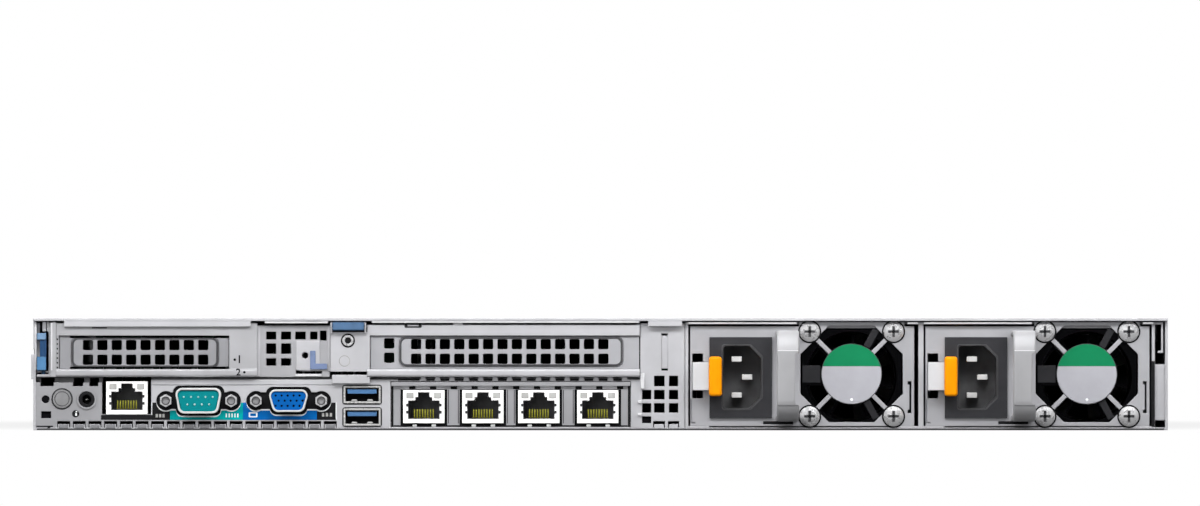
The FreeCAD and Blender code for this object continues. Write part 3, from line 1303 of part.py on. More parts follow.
def power_button():
    deep, sunk = POWER_BUTTON_DEPTH
    return rod(POWER_BUTTON_X, POWER_BUTTON_Z, POWER_BUTTON_R, (FRONT - deep, FRONT - sunk))


# Cover


def top_cover():
    """Lift-off lid: a sheet with stamped panels, and the lips, skirts and latch pan welded to it."""
    rear_edge = REAR - COVER_OVERHANG
    pan_x, pan_y = grown(POCKET_X, SHEET), grown(POCKET_Y, SHEET)
    sheet = block((-HALF, HALF), (rear_edge, COVER_SEAM), (COVER_UNDER, HEIGHT))
    window = block(pan_x, pan_y, grown((COVER_UNDER, HEIGHT), PAST))
    pieces = [sheet.cut([window] + stamped(TOP_PANEL_X, TOP_PANEL_WIDTH, TOP_PANEL_Y))]
    pieces += [block(x, (rear_edge, rear_edge + SHEET), (low, COVER_UNDER)) for x, low in COVER_LIPS]
    for side in (-1, 1):
        skirt_x = sorted((side * SKIRT_X[0], side * SKIRT_X[1]))
        pieces.append(block(skirt_x, SKIRT_Y, (SKIRT_BOTTOM, COVER_UNDER)))
    pan = block(pan_x, pan_y, (POCKET_FLOOR - SHEET, HEIGHT))
    pocket = block(POCKET_X, POCKET_Y, (POCKET_FLOOR, HEIGHT + PAST))
    bearing = pin_x(*LATCH_PIVOT, LATCH_PIVOT_R + RUNNING, grown(POCKET_X, LATCH_BEARING_LAP))
    pieces.append(pan.cut([pocket, bearing]))
    return group(pieces)


def cover_latch():
    """Flush lever on a cross pin at its front end, with a finger notch at the other."""
    pivot_y, pivot_z = LATCH_PIVOT
    x = grown(POCKET_X, -LATCH_SIDE_GAP)
    start = POCKET_Y[0] + LATCH_END_GAP
    notch_width, notch_end = LATCH_NOTCH
    plate = block(x, (start, pivot_y), (pivot_z - LATCH_PLATE_UNDER, HEIGHT - LATCH_FLUSH))
    barrel = pin_x(*LATCH_PIVOT, LATCH_BARREL_R, x)
    pin = pin_x(*LATCH_PIVOT, LATCH_PIVOT_R, grown(POCKET_X, LATCH_PIVOT_LAP))
    notch_y = (start - PAST, POCKET_Y[0] + notch_end)
    notch = block(centred(0, notch_width), notch_y, (POCKET_FLOOR, HEIGHT + PAST))
    return joined([plate, barrel, pin]).cut(notch)


def build():
    """Every node of the server, by name."""
    nodes = {
        "chassis_tray": chassis_tray(),
        "rear_panel": rear_panel(),
        "psu_cage": psu_cage(),
        "front_cover": front_cover(),
        "drive_cage": drive_cage(),
        "drive_backplane": drive_backplane(),
        "system_board": system_board(),
        "memory_modules": memory_modules(),
        "cpu_heatsinks": cpu_heatsinks(),
        "riser_left_cage": riser_left_cage(),
        "riser_right_cage": riser_right_cage(),
        "riser_boards": riser_boards(),
        "riser_latch_left": riser_latch_left(),
        "riser_latch_right": riser_latch_right(),
        "slot_filler_left": slot_filler_left(),
        "slot_filler_right": slot_filler_right(),
        "lan_card": lan_card(),
        "lan_bracket": lan_bracket(),
        "service_jack": service_jack(),
        "serial_port": serial_port(),
        "video_port": video_port(),
        "port_jackscrews": port_jackscrews(),
        "usb_ports": usb_ports(),
        "id_button": id_button(),
        "id_jack": id_jack(),
        "control_panel_left": control_panel(-1),
        "control_panel_right": control_panel(1),
        "power_button": power_button(),
        "top_cover": top_cover(),
        "cover_latch": cover_latch(),
    }
    nodes["fan_housings"], rotors = system_fans()
    for i, rotor in enumerate(rotors):
        nodes[f"fan_{i + 1}_rotor"] = rotor
    for side, shift in (("left", 0.0), ("right", PSU_PITCH)):
        for name, shape in psu_pieces().items():
            shape.translate(vector(shift, 0, 0))
            nodes[f"psu_{side}_{name}"] = shape
    for i in range(BAY_COUNT):
        nodes[f"drive_{i + 1}_carrier"] = drive_carrier(i)
        nodes[f"drive_{i + 1}_lever"] = drive_lever(i)
    return nodes


def main():
    os.makedirs("parts", exist_ok=True)
    for name, shape in build().items():
        shape.exportStep(os.path.join("parts", name + ".step"))
        print(f"{name}: {len(shape.Solids)} solids, valid {shape.isValid()}, {shape.Volume / 1000:.2f} cm3")


main()
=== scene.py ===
# %% [markdown]
# # A one-unit rack server, seen from behind
# The model that we load is the metalwork: every sheet, port and supply at its real size.
# Here we light it, give each surface its finish, and add the small dressings that a drawing office leaves
# out: contacts in the jacks, coloured port faces, a printed label strip, lamps and numbers.

# %% Load the server
import bpy
import json
import math
from mathutils import Matrix, Vector


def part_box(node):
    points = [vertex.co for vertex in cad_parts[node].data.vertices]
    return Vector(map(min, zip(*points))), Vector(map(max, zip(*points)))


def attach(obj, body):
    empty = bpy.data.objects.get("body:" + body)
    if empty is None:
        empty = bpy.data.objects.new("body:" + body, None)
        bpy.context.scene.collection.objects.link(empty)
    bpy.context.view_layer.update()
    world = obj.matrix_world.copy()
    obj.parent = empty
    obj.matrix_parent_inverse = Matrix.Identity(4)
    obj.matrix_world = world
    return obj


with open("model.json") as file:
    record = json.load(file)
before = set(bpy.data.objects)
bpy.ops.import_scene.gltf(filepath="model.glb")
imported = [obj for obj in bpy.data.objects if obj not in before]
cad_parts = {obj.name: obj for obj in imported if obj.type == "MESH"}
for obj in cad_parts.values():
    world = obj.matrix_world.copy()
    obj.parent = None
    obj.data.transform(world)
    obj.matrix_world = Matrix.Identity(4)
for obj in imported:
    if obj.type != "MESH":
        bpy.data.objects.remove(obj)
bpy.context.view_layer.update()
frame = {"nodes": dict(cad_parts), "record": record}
nodes = frame["nodes"]
scene = bpy.context.scene
MM = 0.001
REAR_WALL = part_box("rear_panel")[0].y / MM
print("nodes:", len(nodes), "rear wall at y =", round(REAR_WALL, 2), "mm")

# %% [markdown]
# ## White room
# The server stands in a white studio. Plain grey sheet takes its look from what it mirrors, so the room comes
# before any finish. A curved backdrop would do, but an even world has no edge that could show in the metal.
# Camera rays see it pure white. Mirror rays see a middle level, so that the sheets stay grey, and the light
# that falls on the server from all round is weaker still, so that the lamps can shape it.

# %% White room
ROOM_GLOW = 0.17
MIRROR_EXTRA = 0.40
world = bpy.data.worlds.new("white_room")
scene.world = world
world.use_nodes = True
room = world.node_tree
room_light = room.nodes["Background"]
room_light.inputs["Color"].default_value = (1.0, 1.0, 1.0, 1.0)
ray = room.nodes.new("ShaderNodeLightPath")
seen = room.nodes.new("ShaderNodeMath")
seen.operation = "MAXIMUM"
room.links.new(ray.outputs["Is Camera Ray"], seen.inputs[0])
room.links.new(ray.outputs["Is Transmission Ray"], seen.inputs[1])
mirrored = room.nodes.new("ShaderNodeMath")
mirrored.operation = "MULTIPLY_ADD"
mirrored.inputs[1].default_value = MIRROR_EXTRA
mirrored.inputs[2].default_value = ROOM_GLOW
room.links.new(ray.outputs["Is Glossy Ray"], mirrored.inputs[0])
level = room.nodes.new("ShaderNodeMath")
level.operation = "MAXIMUM"
room.links.new(seen.outputs[0], level.inputs[0])
room.links.new(mirrored.outputs[0], level.inputs[1])
room.links.new(level.outputs[0], room_light.inputs["Strength"])
scene.view_settings.view_transform = "Standard"
print("room glow:", ROOM_GLOW, "and in mirrors:", round(ROOM_GLOW + MIRROR_EXTRA, 2))

# %% [markdown]
# ## Floor
# A white floor that is lit like the server looks grey, and it throws light up under the handles. So for camera
# rays we mix the lit paint with a white glow: glow alone far out, and near the server enough of the paint to
# keep its soft shade and a faint mirror. The shaded patch is an oval that sits towards the drive end, because
# close to the rear wall the strip lamp would draw a hard edge on it. For all other rays the paint is dark.

# %% Floor plane and paint
FLOOR_SIZE = 60.0
FLOOR_DROP = 0.0002
PAINT_UNSEEN, PAINT_SEEN = 0.12, 0.92
bpy.ops.mesh.primitive_plane_add(size=FLOOR_SIZE, location=(0.0, 0.0, -FLOOR_DROP))
floor = bpy.context.object
floor.name = "studio_floor"
floor_finish = bpy.data.materials.new("studio_white")
floor_finish.use_nodes = True
floor.data.materials.append(floor_finish)
tree = floor_finish.node_tree
camera_ray = tree.nodes.new("ShaderNodeLightPath").outputs["Is Camera Ray"]
tone = tree.nodes.new("ShaderNodeMapRange")
tone.inputs["To Min"].default_value = PAINT_UNSEEN
tone.inputs["To Max"].default_value = PAINT_SEEN
paint = tree.nodes["Principled BSDF"]
paint.inputs["Roughness"].default_value = 0.9
paint.inputs["Specular IOR Level"].default_value = 0.0
mirror = tree.nodes.new("ShaderNodeBsdfGlossy")
mirror.inputs["Roughness"].default_value = 0.10
sheen = tree.nodes.new("ShaderNodeMixShader")
sheen.inputs["Fac"].default_value = 0.14
tree.links.new(camera_ray, tone.inputs["Value"])
tree.links.new(tone.outputs["Result"], paint.inputs["Base Color"])
tree.links.new(paint.outputs[0], sheen.inputs[1])
tree.links.new(mirror.outputs[0], sheen.inputs[2])
print("floor:", FLOOR_SIZE, "m wide")

# %% White glow over the floor
SHADE_HALF = (0.24, 0.40)
SHADE_MIDDLE = 0.15
SHADE_END = 1.7
GLOW_NEAR = 0.78
glow = tree.nodes.new("ShaderNodeEmission")
glow.inputs["Strength"].default_value = 1.0
floor_place = tree.nodes.new("ShaderNodeTexCoord")
footprint = tree.nodes.new("ShaderNodeMapping")
footprint.inputs["Scale"].default_value = (1 / SHADE_HALF[0], 1 / SHADE_HALF[1], 1.0)
footprint.inputs["Location"].default_value = (0.0, -SHADE_MIDDLE / SHADE_HALF[1], 0.0)
reach = tree.nodes.new("ShaderNodeVectorMath")
reach.operation = "LENGTH"
fade = tree.nodes.new("ShaderNodeMapRange")
fade.interpolation_type = "SMOOTHSTEP"
fade.inputs["From Min"].default_value = 1.0
fade.inputs["From Max"].default_value = SHADE_END
fade.inputs["To Min"].default_value = GLOW_NEAR
fade.inputs["To Max"].default_value = 1.0
whiten = tree.nodes.new("ShaderNodeMath")
whiten.operation = "MULTIPLY"
mixer = tree.nodes.new("ShaderNodeMixShader")
tree.links.new(floor_place.outputs["Object"], footprint.inputs["Vector"])
tree.links.new(footprint.outputs[0], reach.inputs[0])
tree.links.new(reach.outputs["Value"], fade.inputs["Value"])
tree.links.new(camera_ray, whiten.inputs[0])
tree.links.new(fade.outputs["Result"], whiten.inputs[1])
tree.links.new(whiten.outputs[0], mixer.inputs["Fac"])
tree.links.new(sheen.outputs[0], mixer.inputs[1])
tree.links.new(glow.outputs[0], mixer.inputs[2])
tree.links.new(mixer.outputs[0], tree.nodes["Material Output"].inputs["Surface"])
print("shade on the floor ends", round(SHADE_HALF[0] * SHADE_END, 2), "m to each side")

# %% [markdown]
# ## Lamps
# Large soft panels suit sheet metal, because small lamps show in it as spots. A wide panel hangs over the rear
# wall and draws the bright line along every top edge. A low strip close to the wall lights the ports, and
# mirror rays pass it by, as the bright sheets would show it as a hard bar. A panel far behind the camera makes
# the faces that look at us an even grey. Two more light the lid and the drives for views from the other end.


# %% Soft panels
def soft_panel(name, place, aim, size, watts, mirrored=True):
    """A rectangular lamp that the camera doesn't see."""
    lamp = bpy.data.lights.new(name, "AREA")
    lamp.shape = "RECTANGLE"
    lamp.size = size[0]
    lamp.size_y = size[1]
    lamp.energy = watts
    holder = bpy.data.objects.new(name, lamp)
    scene.collection.objects.link(holder)
    holder.location = place
    holder.visible_camera = False
    holder.visible_glossy = mirrored
    holder.rotation_euler = (Vector(aim) - Vector(place)).to_track_quat("-Z", "Y").to_euler()


rear_middle = (0.0, REAR_WALL * MM, 0.02)
strip_place = (0.0, REAR_WALL * MM - 0.14, 0.135)
drive_middle = (0.0, 0.39, 0.02)
lid_middle = (0.0, 0.3, 0.0)
soft_panel("top_panel", (0.0, -0.75, 1.1), rear_middle, size=(2.2, 0.7), watts=6.0)
soft_panel("near_strip", strip_place, rear_middle, size=(0.8, 0.04), watts=1.6, mirrored=False)
soft_panel("front_panel", (-0.9, -2.6, 0.45), rear_middle, size=(1.8, 0.7), watts=4.5)
soft_panel("far_panel", (0.9, 1.6, 1.5), lid_middle, size=(2.0, 1.5), watts=14.0)
soft_panel("drive_panel", (-0.8, 3.0, 0.6), drive_middle, size=(1.8, 0.9), watts=12.0)

# %% [markdown]
# ## Camera
# We look from far back through a long lens, about level with the server, so nothing converges, and the rack
# ears at the far end hide behind the body. The frame is 1200 by 506, and the server sits low in it. Lens shift
# could put it there. We tilt the camera up a little instead, which at this distance draws the same picture.

# %% Long lens
FRAME_WIDTH = 459.1
AIM_HEIGHT = 67.8
EYE_HEIGHT = 26.0
STAND_OFF = 5500.0
SIDE_STEP = -0.2
lens = bpy.data.cameras.new("long_lens")
lens.sensor_width = 36.0
lens.lens = lens.sensor_width * STAND_OFF / FRAME_WIDTH
lens.clip_start = 0.1
lens.clip_end = 60.0
camera = bpy.data.objects.new("long_lens", lens)
scene.collection.objects.link(camera)
camera.location = (SIDE_STEP * MM, (REAR_WALL - STAND_OFF) * MM, EYE_HEIGHT * MM)
target = Vector((SIDE_STEP * MM, REAR_WALL * MM, AIM_HEIGHT * MM))
camera.rotation_euler = (target - camera.location).to_track_quat("-Z", "Y").to_euler()
scene.camera = camera
print("lens", round(lens.lens, 1), "mm")

# %% [markdown]
# ## Finishes
# A finish is a short chain of nodes. Noise in the colour and the gloss keeps large sheets from looking printed,
# a fine bump gives the plating its tooth, and the Bevel node rounds every sharp edge by a fraction of a
# millimetre, so that edges catch light as folded sheet does. Images of metal could give the same, but noise
# needs no files, has no seams and can be tuned to the size of each piece.


# %% Noise and tones
def start_finish(name):
    finish = bpy.data.materials.new(name)
    finish.use_nodes = True
    graph = finish.node_tree
    return finish, graph, graph.nodes["Principled BSDF"]


def noise(graph, scale, detail=3.0, stretch=(1.0, 1.0, 1.0)):
    place = graph.nodes.new("ShaderNodeTexCoord")
    stretcher = graph.nodes.new("ShaderNodeMapping")
    stretcher.inputs["Scale"].default_value = stretch
    cloud = graph.nodes.new("ShaderNodeTexNoise")
    cloud.inputs["Scale"].default_value = scale
    cloud.inputs["Detail"].default_value = detail
    graph.links.new(place.outputs["Object"], stretcher.inputs["Vector"])
    graph.links.new(stretcher.outputs[0], cloud.inputs["Vector"])
    return cloud.outputs["Fac"]


def between(graph, factor, low, high):
    """Spreads the middle half of the noise over the range from low to high."""
    spread = graph.nodes.new("ShaderNodeMapRange")
    spread.inputs["From Min"].default_value = 0.25
    spread.inputs["From Max"].default_value = 0.75
    spread.inputs["To Min"].default_value = low
    spread.inputs["To Max"].default_value = high
    graph.links.new(factor, spread.inputs["Value"])
    return spread.outputs["Result"]


def two_tones(graph, factor, dark, light):
    ramp = graph.nodes.new("ShaderNodeValToRGB")
    ramp.color_ramp.elements[0].position = 0.3
    ramp.color_ramp.elements[0].color = (*dark, 1.0)
    ramp.color_ramp.elements[1].position = 0.7
    ramp.color_ramp.elements[1].color = (*light, 1.0)
    graph.links.new(factor, ramp.inputs["Fac"])
    return ramp.outputs["Color"]


print("noise and tones ready")

# %% Rounded edges
TOOTH_DEPTH = 0.00005


def rounded_edges(graph, shader, radius, tooth, tooth_scale):
    """Rounds the edges in the shading and roughens the faces with a fine tooth."""
    edge = graph.nodes.new("ShaderNodeBevel")
    edge.samples = 6
    edge.inputs["Radius"].default_value = radius
    bump = graph.nodes.new("ShaderNodeBump")
    bump.inputs["Strength"].default_value = tooth
    bump.inputs["Distance"].default_value = TOOTH_DEPTH
    graph.links.new(noise(graph, tooth_scale, 2.0), bump.inputs["Height"])
    graph.links.new(edge.outputs["Normal"], bump.inputs["Normal"])
    graph.links.new(bump.outputs["Normal"], shader.inputs["Normal"])


print("tooth depth:", TOOTH_DEPTH / MM, "mm")

# %% [markdown]
# ## Metal and plastic
# Zinc plate shows faint clouds, and moulded plastic a fine grain. One function makes every metal and another
# every plastic, so the finishes of a family differ only in colour, gloss and grain. The metals are a little
# over half metallic instead of fully: plated sheet is dull, and it stays grey where it mirrors nothing bright.

# %% Metal family
METAL_SHARE = 0.6
METAL_TOOTH = 2500.0


def shade(colour, factor):
    return tuple(channel * factor for channel in colour)


def metal(name, colour, gloss, spangle=90.0, edge=0.0004, spread=0.06, stretch=(1.0, 1.0, 1.0), tooth=0.10):
    finish, graph, shader = start_finish(name)
    shader.inputs["Metallic"].default_value = METAL_SHARE
    cloud = noise(graph, spangle, 4.0, stretch)
    tones = two_tones(graph, cloud, shade(colour, 1.0 - spread), shade(colour, 1.0 + spread))
    graph.links.new(tones, shader.inputs["Base Color"])
    graph.links.new(between(graph, cloud, gloss - 0.06, gloss + 0.08), shader.inputs["Roughness"])
    rounded_edges(graph, shader, edge, tooth, METAL_TOOTH)
    return finish


print("metals are", METAL_SHARE, "metallic")

# %% Plastic family
PLASTIC_GRAIN = 220.0
PLASTIC_TOOTH = 5000.0


def plastic(name, colour, gloss, edge=0.00025, spread=0.12, tooth=0.18, shine=0.3):
    finish, graph, shader = start_finish(name)
    shader.inputs["Specular IOR Level"].default_value = shine
    cloud = noise(graph, PLASTIC_GRAIN, 3.0)
    tones = two_tones(graph, cloud, shade(colour, 1.0 - spread), shade(colour, 1.0 + spread))
    graph.links.new(tones, shader.inputs["Base Color"])
    graph.links.new(between(graph, cloud, gloss - 0.05, gloss + 0.07), shader.inputs["Roughness"])
    rounded_edges(graph, shader, edge, tooth, PLASTIC_TOOTH)
    return finish


print("plastic grain:", round(1 / PLASTIC_GRAIN / MM, 1), "mm")

# %% [markdown]
# ## Finishes of the loaded pieces
# Each piece of the loaded model has a material in the record. We make one finish for each of these and hand
# them out in a loop, so that no piece is missed. Some pieces then get a finish of their own: the supply fans
# are a black deeper than their plastic, as painted shade behind their guards; the slot fillers, the card's
# plate and the left riser are darker sheet, the left filler partly as painted shade where it sits back in the
# riser's window;
# and the supply latches are bright spring steel.

# %% Finishes by material
ZINC = (0.56, 0.56, 0.585)
finishes = {
    "zinc_steel": metal("zinc_plated_sheet", ZINC, 0.42),
    "supply_steel": metal("supply_face_sheet", (0.47, 0.47, 0.495), 0.44),
    "handle_steel": metal("handle_strip", (0.43, 0.43, 0.445), 0.50, edge=0.0006),
    "screw_steel": metal("bright_screw", (0.55, 0.55, 0.56), 0.28, spangle=600.0, edge=0.0003),
    "shell_nickel": metal("nickel_shell", (0.58, 0.58, 0.57), 0.28, spangle=300.0),
    "port_shell": plastic("port_black", (0.008, 0.008, 0.009), 0.5, shine=0.08),
    "jack_plastic": plastic("jack_white", (0.93, 0.93, 0.92), 0.35),
    "black_plastic": plastic("moulded_black", (0.026, 0.026, 0.029), 0.45, shine=0.2),
    "blue_plastic": plastic("latch_blue", (0.040, 0.085, 0.160), 0.40, shine=0.15),
    "orange_plastic": plastic("tab_orange", (0.74, 0.25, 0.001), 0.34, edge=0.0008, spread=0.05, shine=0.1),
    "clear_button": plastic("button_grey", (0.20, 0.20, 0.205), 0.35),
    "circuit_board": plastic("board_green", (0.010, 0.050, 0.024), 0.40),
    "heatsink": metal("bare_fins", (0.62, 0.62, 0.63), 0.38, stretch=(1.0, 0.05, 1.0)),
    "carrier": plastic("carrier_graphite", (0.030, 0.030, 0.033), 0.45),
}
for piece in frame["record"]["subparts"]:
    node = nodes[piece["node"]]
    node.data.materials.clear()
    node.data.materials.append(finishes[piece["material_slot"]])
print("finishes:", len(finishes))

# %% Finishes of single pieces
# Painted shade: the fans are a black deeper than moulded plastic, for the shade behind the guards.
fan_painted_shade_black = plastic("fan_painted_shade_black", (0.0015, 0.0015, 0.0018), 0.6, shine=0.02)
spring_steel = metal("spring_steel", (0.76, 0.76, 0.78), 0.36)
special = {
    # Partly painted shade: the left filler is darkened for the shade of the window it sits back in.
    "slot_filler_left": metal("filler_sheet", (0.34, 0.34, 0.36), 0.46),
    "slot_filler_right": metal("wide_filler_sheet", (0.44, 0.44, 0.465), 0.46),
    "lan_bracket": metal("bracket_sheet", (0.40, 0.40, 0.42), 0.46),
    "riser_left_cage": metal("riser_sheet", (0.46, 0.46, 0.48), 0.44),
}
for side in ("left", "right"):
    special[f"psu_{side}_fan_frame"] = fan_painted_shade_black
    special[f"psu_{side}_rotor"] = fan_painted_shade_black
    special[f"psu_{side}_latch_arm"] = spring_steel
for name, finish in special.items():
    nodes[name].data.materials[0] = finish
print("pieces with a finish of their own:", len(special))

# %% [markdown]
# ## Painted shade on the rear wall
# The rear wall is one sheet, but two areas of it look darker, as they lie in shade: the low left corner and the
# vent plate set back between the slots. We paint that shade into the colour. We could cut the mesh there. It is
# simpler to ask in the nodes whether a point lies inside a rectangle, and to multiply the colour by less than
# one where it does.

# %% Painted shade patches
LOW_CORNER = ((-220.0, -171.9), (0.0, 20.4))
VENT_PLATE = ((-130.7, -103.5), (20.6, 40.2))


def inside_range(graph, value, limits):
    """One where the value lies between the limits, and zero elsewhere."""
    within = graph.nodes.new("ShaderNodeMath")
    within.operation = "COMPARE"
    within.inputs[1].default_value = sum(limits) / 2 * MM
    within.inputs[2].default_value = (limits[1] - limits[0]) / 2 * MM
    graph.links.new(value, within.inputs[0])
    return within.outputs[0]


def painted_shade_patch(finish, x, z, share):
    """Paints shade on the sheet inside a rectangle of the rear wall."""
    graph = finish.node_tree
    colour = graph.nodes["Principled BSDF"].inputs["Base Color"]
    split = graph.nodes.new("ShaderNodeSeparateXYZ")
    graph.links.new(graph.nodes.new("ShaderNodeTexCoord").outputs["Object"], split.inputs[0])
    both = graph.nodes.new("ShaderNodeMath")
    both.operation = "MULTIPLY"
    graph.links.new(inside_range(graph, split.outputs["X"], x), both.inputs[0])
    graph.links.new(inside_range(graph, split.outputs["Z"], z), both.inputs[1])
    shade_mix = graph.nodes.new("ShaderNodeMixRGB")
    shade_mix.blend_type = "MULTIPLY"
    shade_mix.inputs["Color2"].default_value = (share, share, share, 1.0)
    graph.links.new(both.outputs[0], shade_mix.inputs["Fac"])
    graph.links.new(colour.links[0].from_socket, shade_mix.inputs["Color1"])
    graph.links.new(shade_mix.outputs["Color"], colour)


wall_sheet = metal("wall_sheet", ZINC, 0.42)
# Painted shade: the low left corner and the set-back vent plate are darkened in the colour.
painted_shade_patch(wall_sheet, *LOW_CORNER, share=0.68)
painted_shade_patch(wall_sheet, *VENT_PLATE, share=0.78)
nodes["rear_panel"].data.materials[0] = wall_sheet
print("patches at x =", LOW_CORNER[0], "and", VENT_PLATE[0])

# %% [markdown]
# ## Flat pieces from drawings
# Most small dressings on a server are flat: lenses, labels, liners, contacts. A Blender curve in 2D mode fills
# its outline, leaves holes where loops lie inside it, and can be given thickness and a soft edge, so one helper
# makes them all. Outlines are drawn in millimetres as we look at the rear wall: x to the right and z up.
# Depth is counted from the rear wall, and negative depth comes towards the camera.


# %% Outline helpers
def softened(corners, radius, steps=6):
    """The same outline with every corner replaced by an arc."""
    points = []
    count = len(corners)
    for i in range(count):
        corner = Vector(corners[i])
        back = (Vector(corners[i - 1]) - corner).normalized()
        ahead = (Vector(corners[(i + 1) % count]) - corner).normalized()
        half = back.angle(ahead) / 2
        centre = corner + (back + ahead).normalized() * (radius / math.sin(half))
        start = corner + back * (radius / math.tan(half)) - centre
        finish = corner + ahead * (radius / math.tan(half)) - centre
        sweep = start.angle_signed(finish)
        for step in range(steps + 1):
            turn = -sweep * step / steps
            turned = Vector((
                start.x * math.cos(turn) - start.y * math.sin(turn),
                start.x * math.sin(turn) + start.y * math.cos(turn),
            ))
            points.append(tuple(centre + turned))
    return points


def box_loop(x, z, radius=0.0):
    corners = [(x[0], z[0]), (x[1], z[0]), (x[1], z[1]), (x[0], z[1])]
    return softened(corners, radius) if radius else corners


def round_loop(x, z, radius, steps=28):
    angles = [2 * math.pi * i / steps for i in range(steps)]
    return [(x + radius * math.cos(a), z + radius * math.sin(a)) for a in angles]


def around(middle, width):
    return (middle - width / 2, middle + width / 2)


print("points in a softened box:", len(box_loop((0, 4), (0, 2), 0.5)))


# %% Plate maker
def cut_sheet(name, loops, thick, soft):
    """A flat mesh cut from closed loops, lying on its middle plane."""
    drawing = bpy.data.curves.new(name, "CURVE")
    drawing.dimensions = "2D"
    drawing.fill_mode = "BOTH"
    drawing.extrude = (thick / 2 - soft) * MM
    drawing.bevel_depth = soft * MM
    drawing.bevel_resolution = 2
    drawing.offset = -soft * MM
    for loop in loops:
        spline = drawing.splines.new("POLY")
        spline.points.add(len(loop) - 1)
        for point, (x, y) in zip(spline.points, loop):
            point.co = (x * MM, y * MM, 0.0, 1.0)
        spline.use_cyclic_u = True
    pattern = bpy.data.objects.new(name + "_pattern", drawing)
    mesh = bpy.data.meshes.new_from_object(pattern)
    bpy.data.objects.remove(pattern)
    return mesh


def fix(name, mesh, finish, body):
    """Makes a piece from the mesh, with its finish, and lets it ride on a body."""
    mesh.materials.clear()
    mesh.materials.append(finish)
    piece = bpy.data.objects.new(name, mesh)
    scene.collection.objects.link(piece)
    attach(piece, body)


def plate(name, loops, depth, finish, body="chassis", soft=0.0):
    """Cuts one upright piece between two depths behind the rear wall."""
    mesh = cut_sheet(name, loops, depth[1] - depth[0], soft)
    middle = REAR_WALL + (depth[0] + depth[1]) / 2
    upright = Matrix.Rotation(math.pi / 2, 4, "X")
    mesh.transform(Matrix.Translation((0.0, middle * MM, 0.0)) @ upright)
    fix(name, mesh, finish, body)


print("plate maker ready")

# %% [markdown]
# ## Network jacks
# A jack is a white moulded frame around a black mouth. The mouth is a T: the plug's body below and its clip
# above. The frame is in the loaded model. We could colour the faces of its mouth, but a thin liner cut from the
# same T has cleaner edges. Eight gilt contact springs stand on its floor, and two lamps fill the upper corners.

# %% Mouth of a jack
JACK_WIDTH = 15.8
MOUTH_HALVES = (6.025, 3.25, 2.2)
MOUTH_SILL = 1.6
MOUTH_STEPS = (8.7, 10.0, 11.8)


def mouth_loop(middle, base, inset):
    """The T of a mouth, drawn smaller by the inset."""
    wide, mid, clip = (half - inset for half in MOUTH_HALVES)
    shoulder, step, top = (base + height - inset for height in MOUTH_STEPS)
    sill = base + MOUTH_SILL + inset
    right = [(wide, sill), (wide, shoulder), (mid, shoulder), (mid, step), (clip, step), (clip, top)]
    left = [(-x, z) for x, z in reversed(right)]
    return [(middle + x, z) for x, z in right + left]


print("mouth:", 2 * MOUTH_HALVES[0], "mm wide")

# %% Jack linings, contacts and lamps
jack_black_and_shade = plastic("jack_lining_and_shade", (0.034, 0.034, 0.036), 0.5, shine=0.15)
jack_floor_painted_light = plastic("jack_floor_painted_light", (0.32, 0.32, 0.33), 0.5, shine=0.15)
gilt = metal("gilt_contact", (0.40, 0.38, 0.035), 0.30, spangle=400.0)
lamp_grey = plastic("unlit_lamp", (0.36, 0.36, 0.35), 0.25)
CONTACT_PITCH = 1.02
LAN_JACKS = (-75.5, -52.9, -31.5, -8.95)
LAN_BASE = 2.7


def dress_jack(name, left_edge, base):
    middle = left_edge + JACK_WIDTH / 2
    lining = [mouth_loop(middle, base, 0.02), mouth_loop(middle, base, 0.3)]
    plate(name + "_lining", lining, (-0.25, 13.6), jack_black_and_shade)
    # Painted light: the floor is a light grey, far lighter than the black mouth, so that the deep mouth shows
    # grey and not black.
    plate(name + "_back", [mouth_loop(middle, base, 0.05)], (13.5, 13.9), jack_floor_painted_light)
    springs = []
    for i in range(8):
        x = middle + (i - 3.5) * CONTACT_PITCH
        springs.append(box_loop(around(x, 0.42), (base + 1.95, base + 5.3)))
    plate(name + "_contacts", springs, (1.6, 2.1), gilt)
    lamps, notches = [], []
    for side in (-1, 1):
        lamps.append(box_loop(around(middle + side * 5.3, 2.8), (base + 9.5, base + 11.7), 0.3))
        for z in (base + 4.2, base + 6.9):
            notches.append(box_loop(around(middle + side * 6.4, 0.8), around(z, 1.1), 0.15))
    plate(name + "_lamps", lamps, (-0.42, -0.2), lamp_grey, soft=0.05)
    # Painted shade: dark plates on the frame stand for the shade in its side notches.
    plate(name + "_notches", notches, (-0.34, -0.28), jack_black_and_shade)


service_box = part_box("service_jack")
dress_jack("service_jack", service_box[0].x / MM, service_box[0].z / MM)
for number, left_edge in enumerate(LAN_JACKS, 1):
    dress_jack(f"lan_jack_{number}", left_edge, LAN_BASE)
print("jacks dressed:", 1 + len(LAN_JACKS))

# %% [markdown]
# ## Serial and video ports
# Both are D-shaped metal shells in a black surround. The serial shell holds a teal insulator with nine pins,
# and the video shell a blue one with three rows of holes. The colours are the usual code for these ports.
# A shell is a ring between two D outlines, so one function that grows and shrinks the D draws both shells and
# their insulators.

# %% D outline
serial_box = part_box("serial_port")
D_MIDDLE = (serial_box[0].z + serial_box[1].z) / 2 / MM
SERIAL = {"x": -153.75, "top": 8.8, "bottom": 7.1, "half": 4.55}
VIDEO = {"x": -119.3, "top": 7.85, "bottom": 5.6, "half": 4.1}


def d_loop(port, grow, radius):
    x, top, bottom, half = port["x"], port["top"] + grow, port["bottom"] + grow, port["half"] + grow
    low, high = D_MIDDLE - half, D_MIDDLE + half
    return softened([(x - bottom, low), (x + bottom, low), (x + top, high), (x - top, high)], radius)


print("middle of the ports at z =", round(D_MIDDLE, 2))

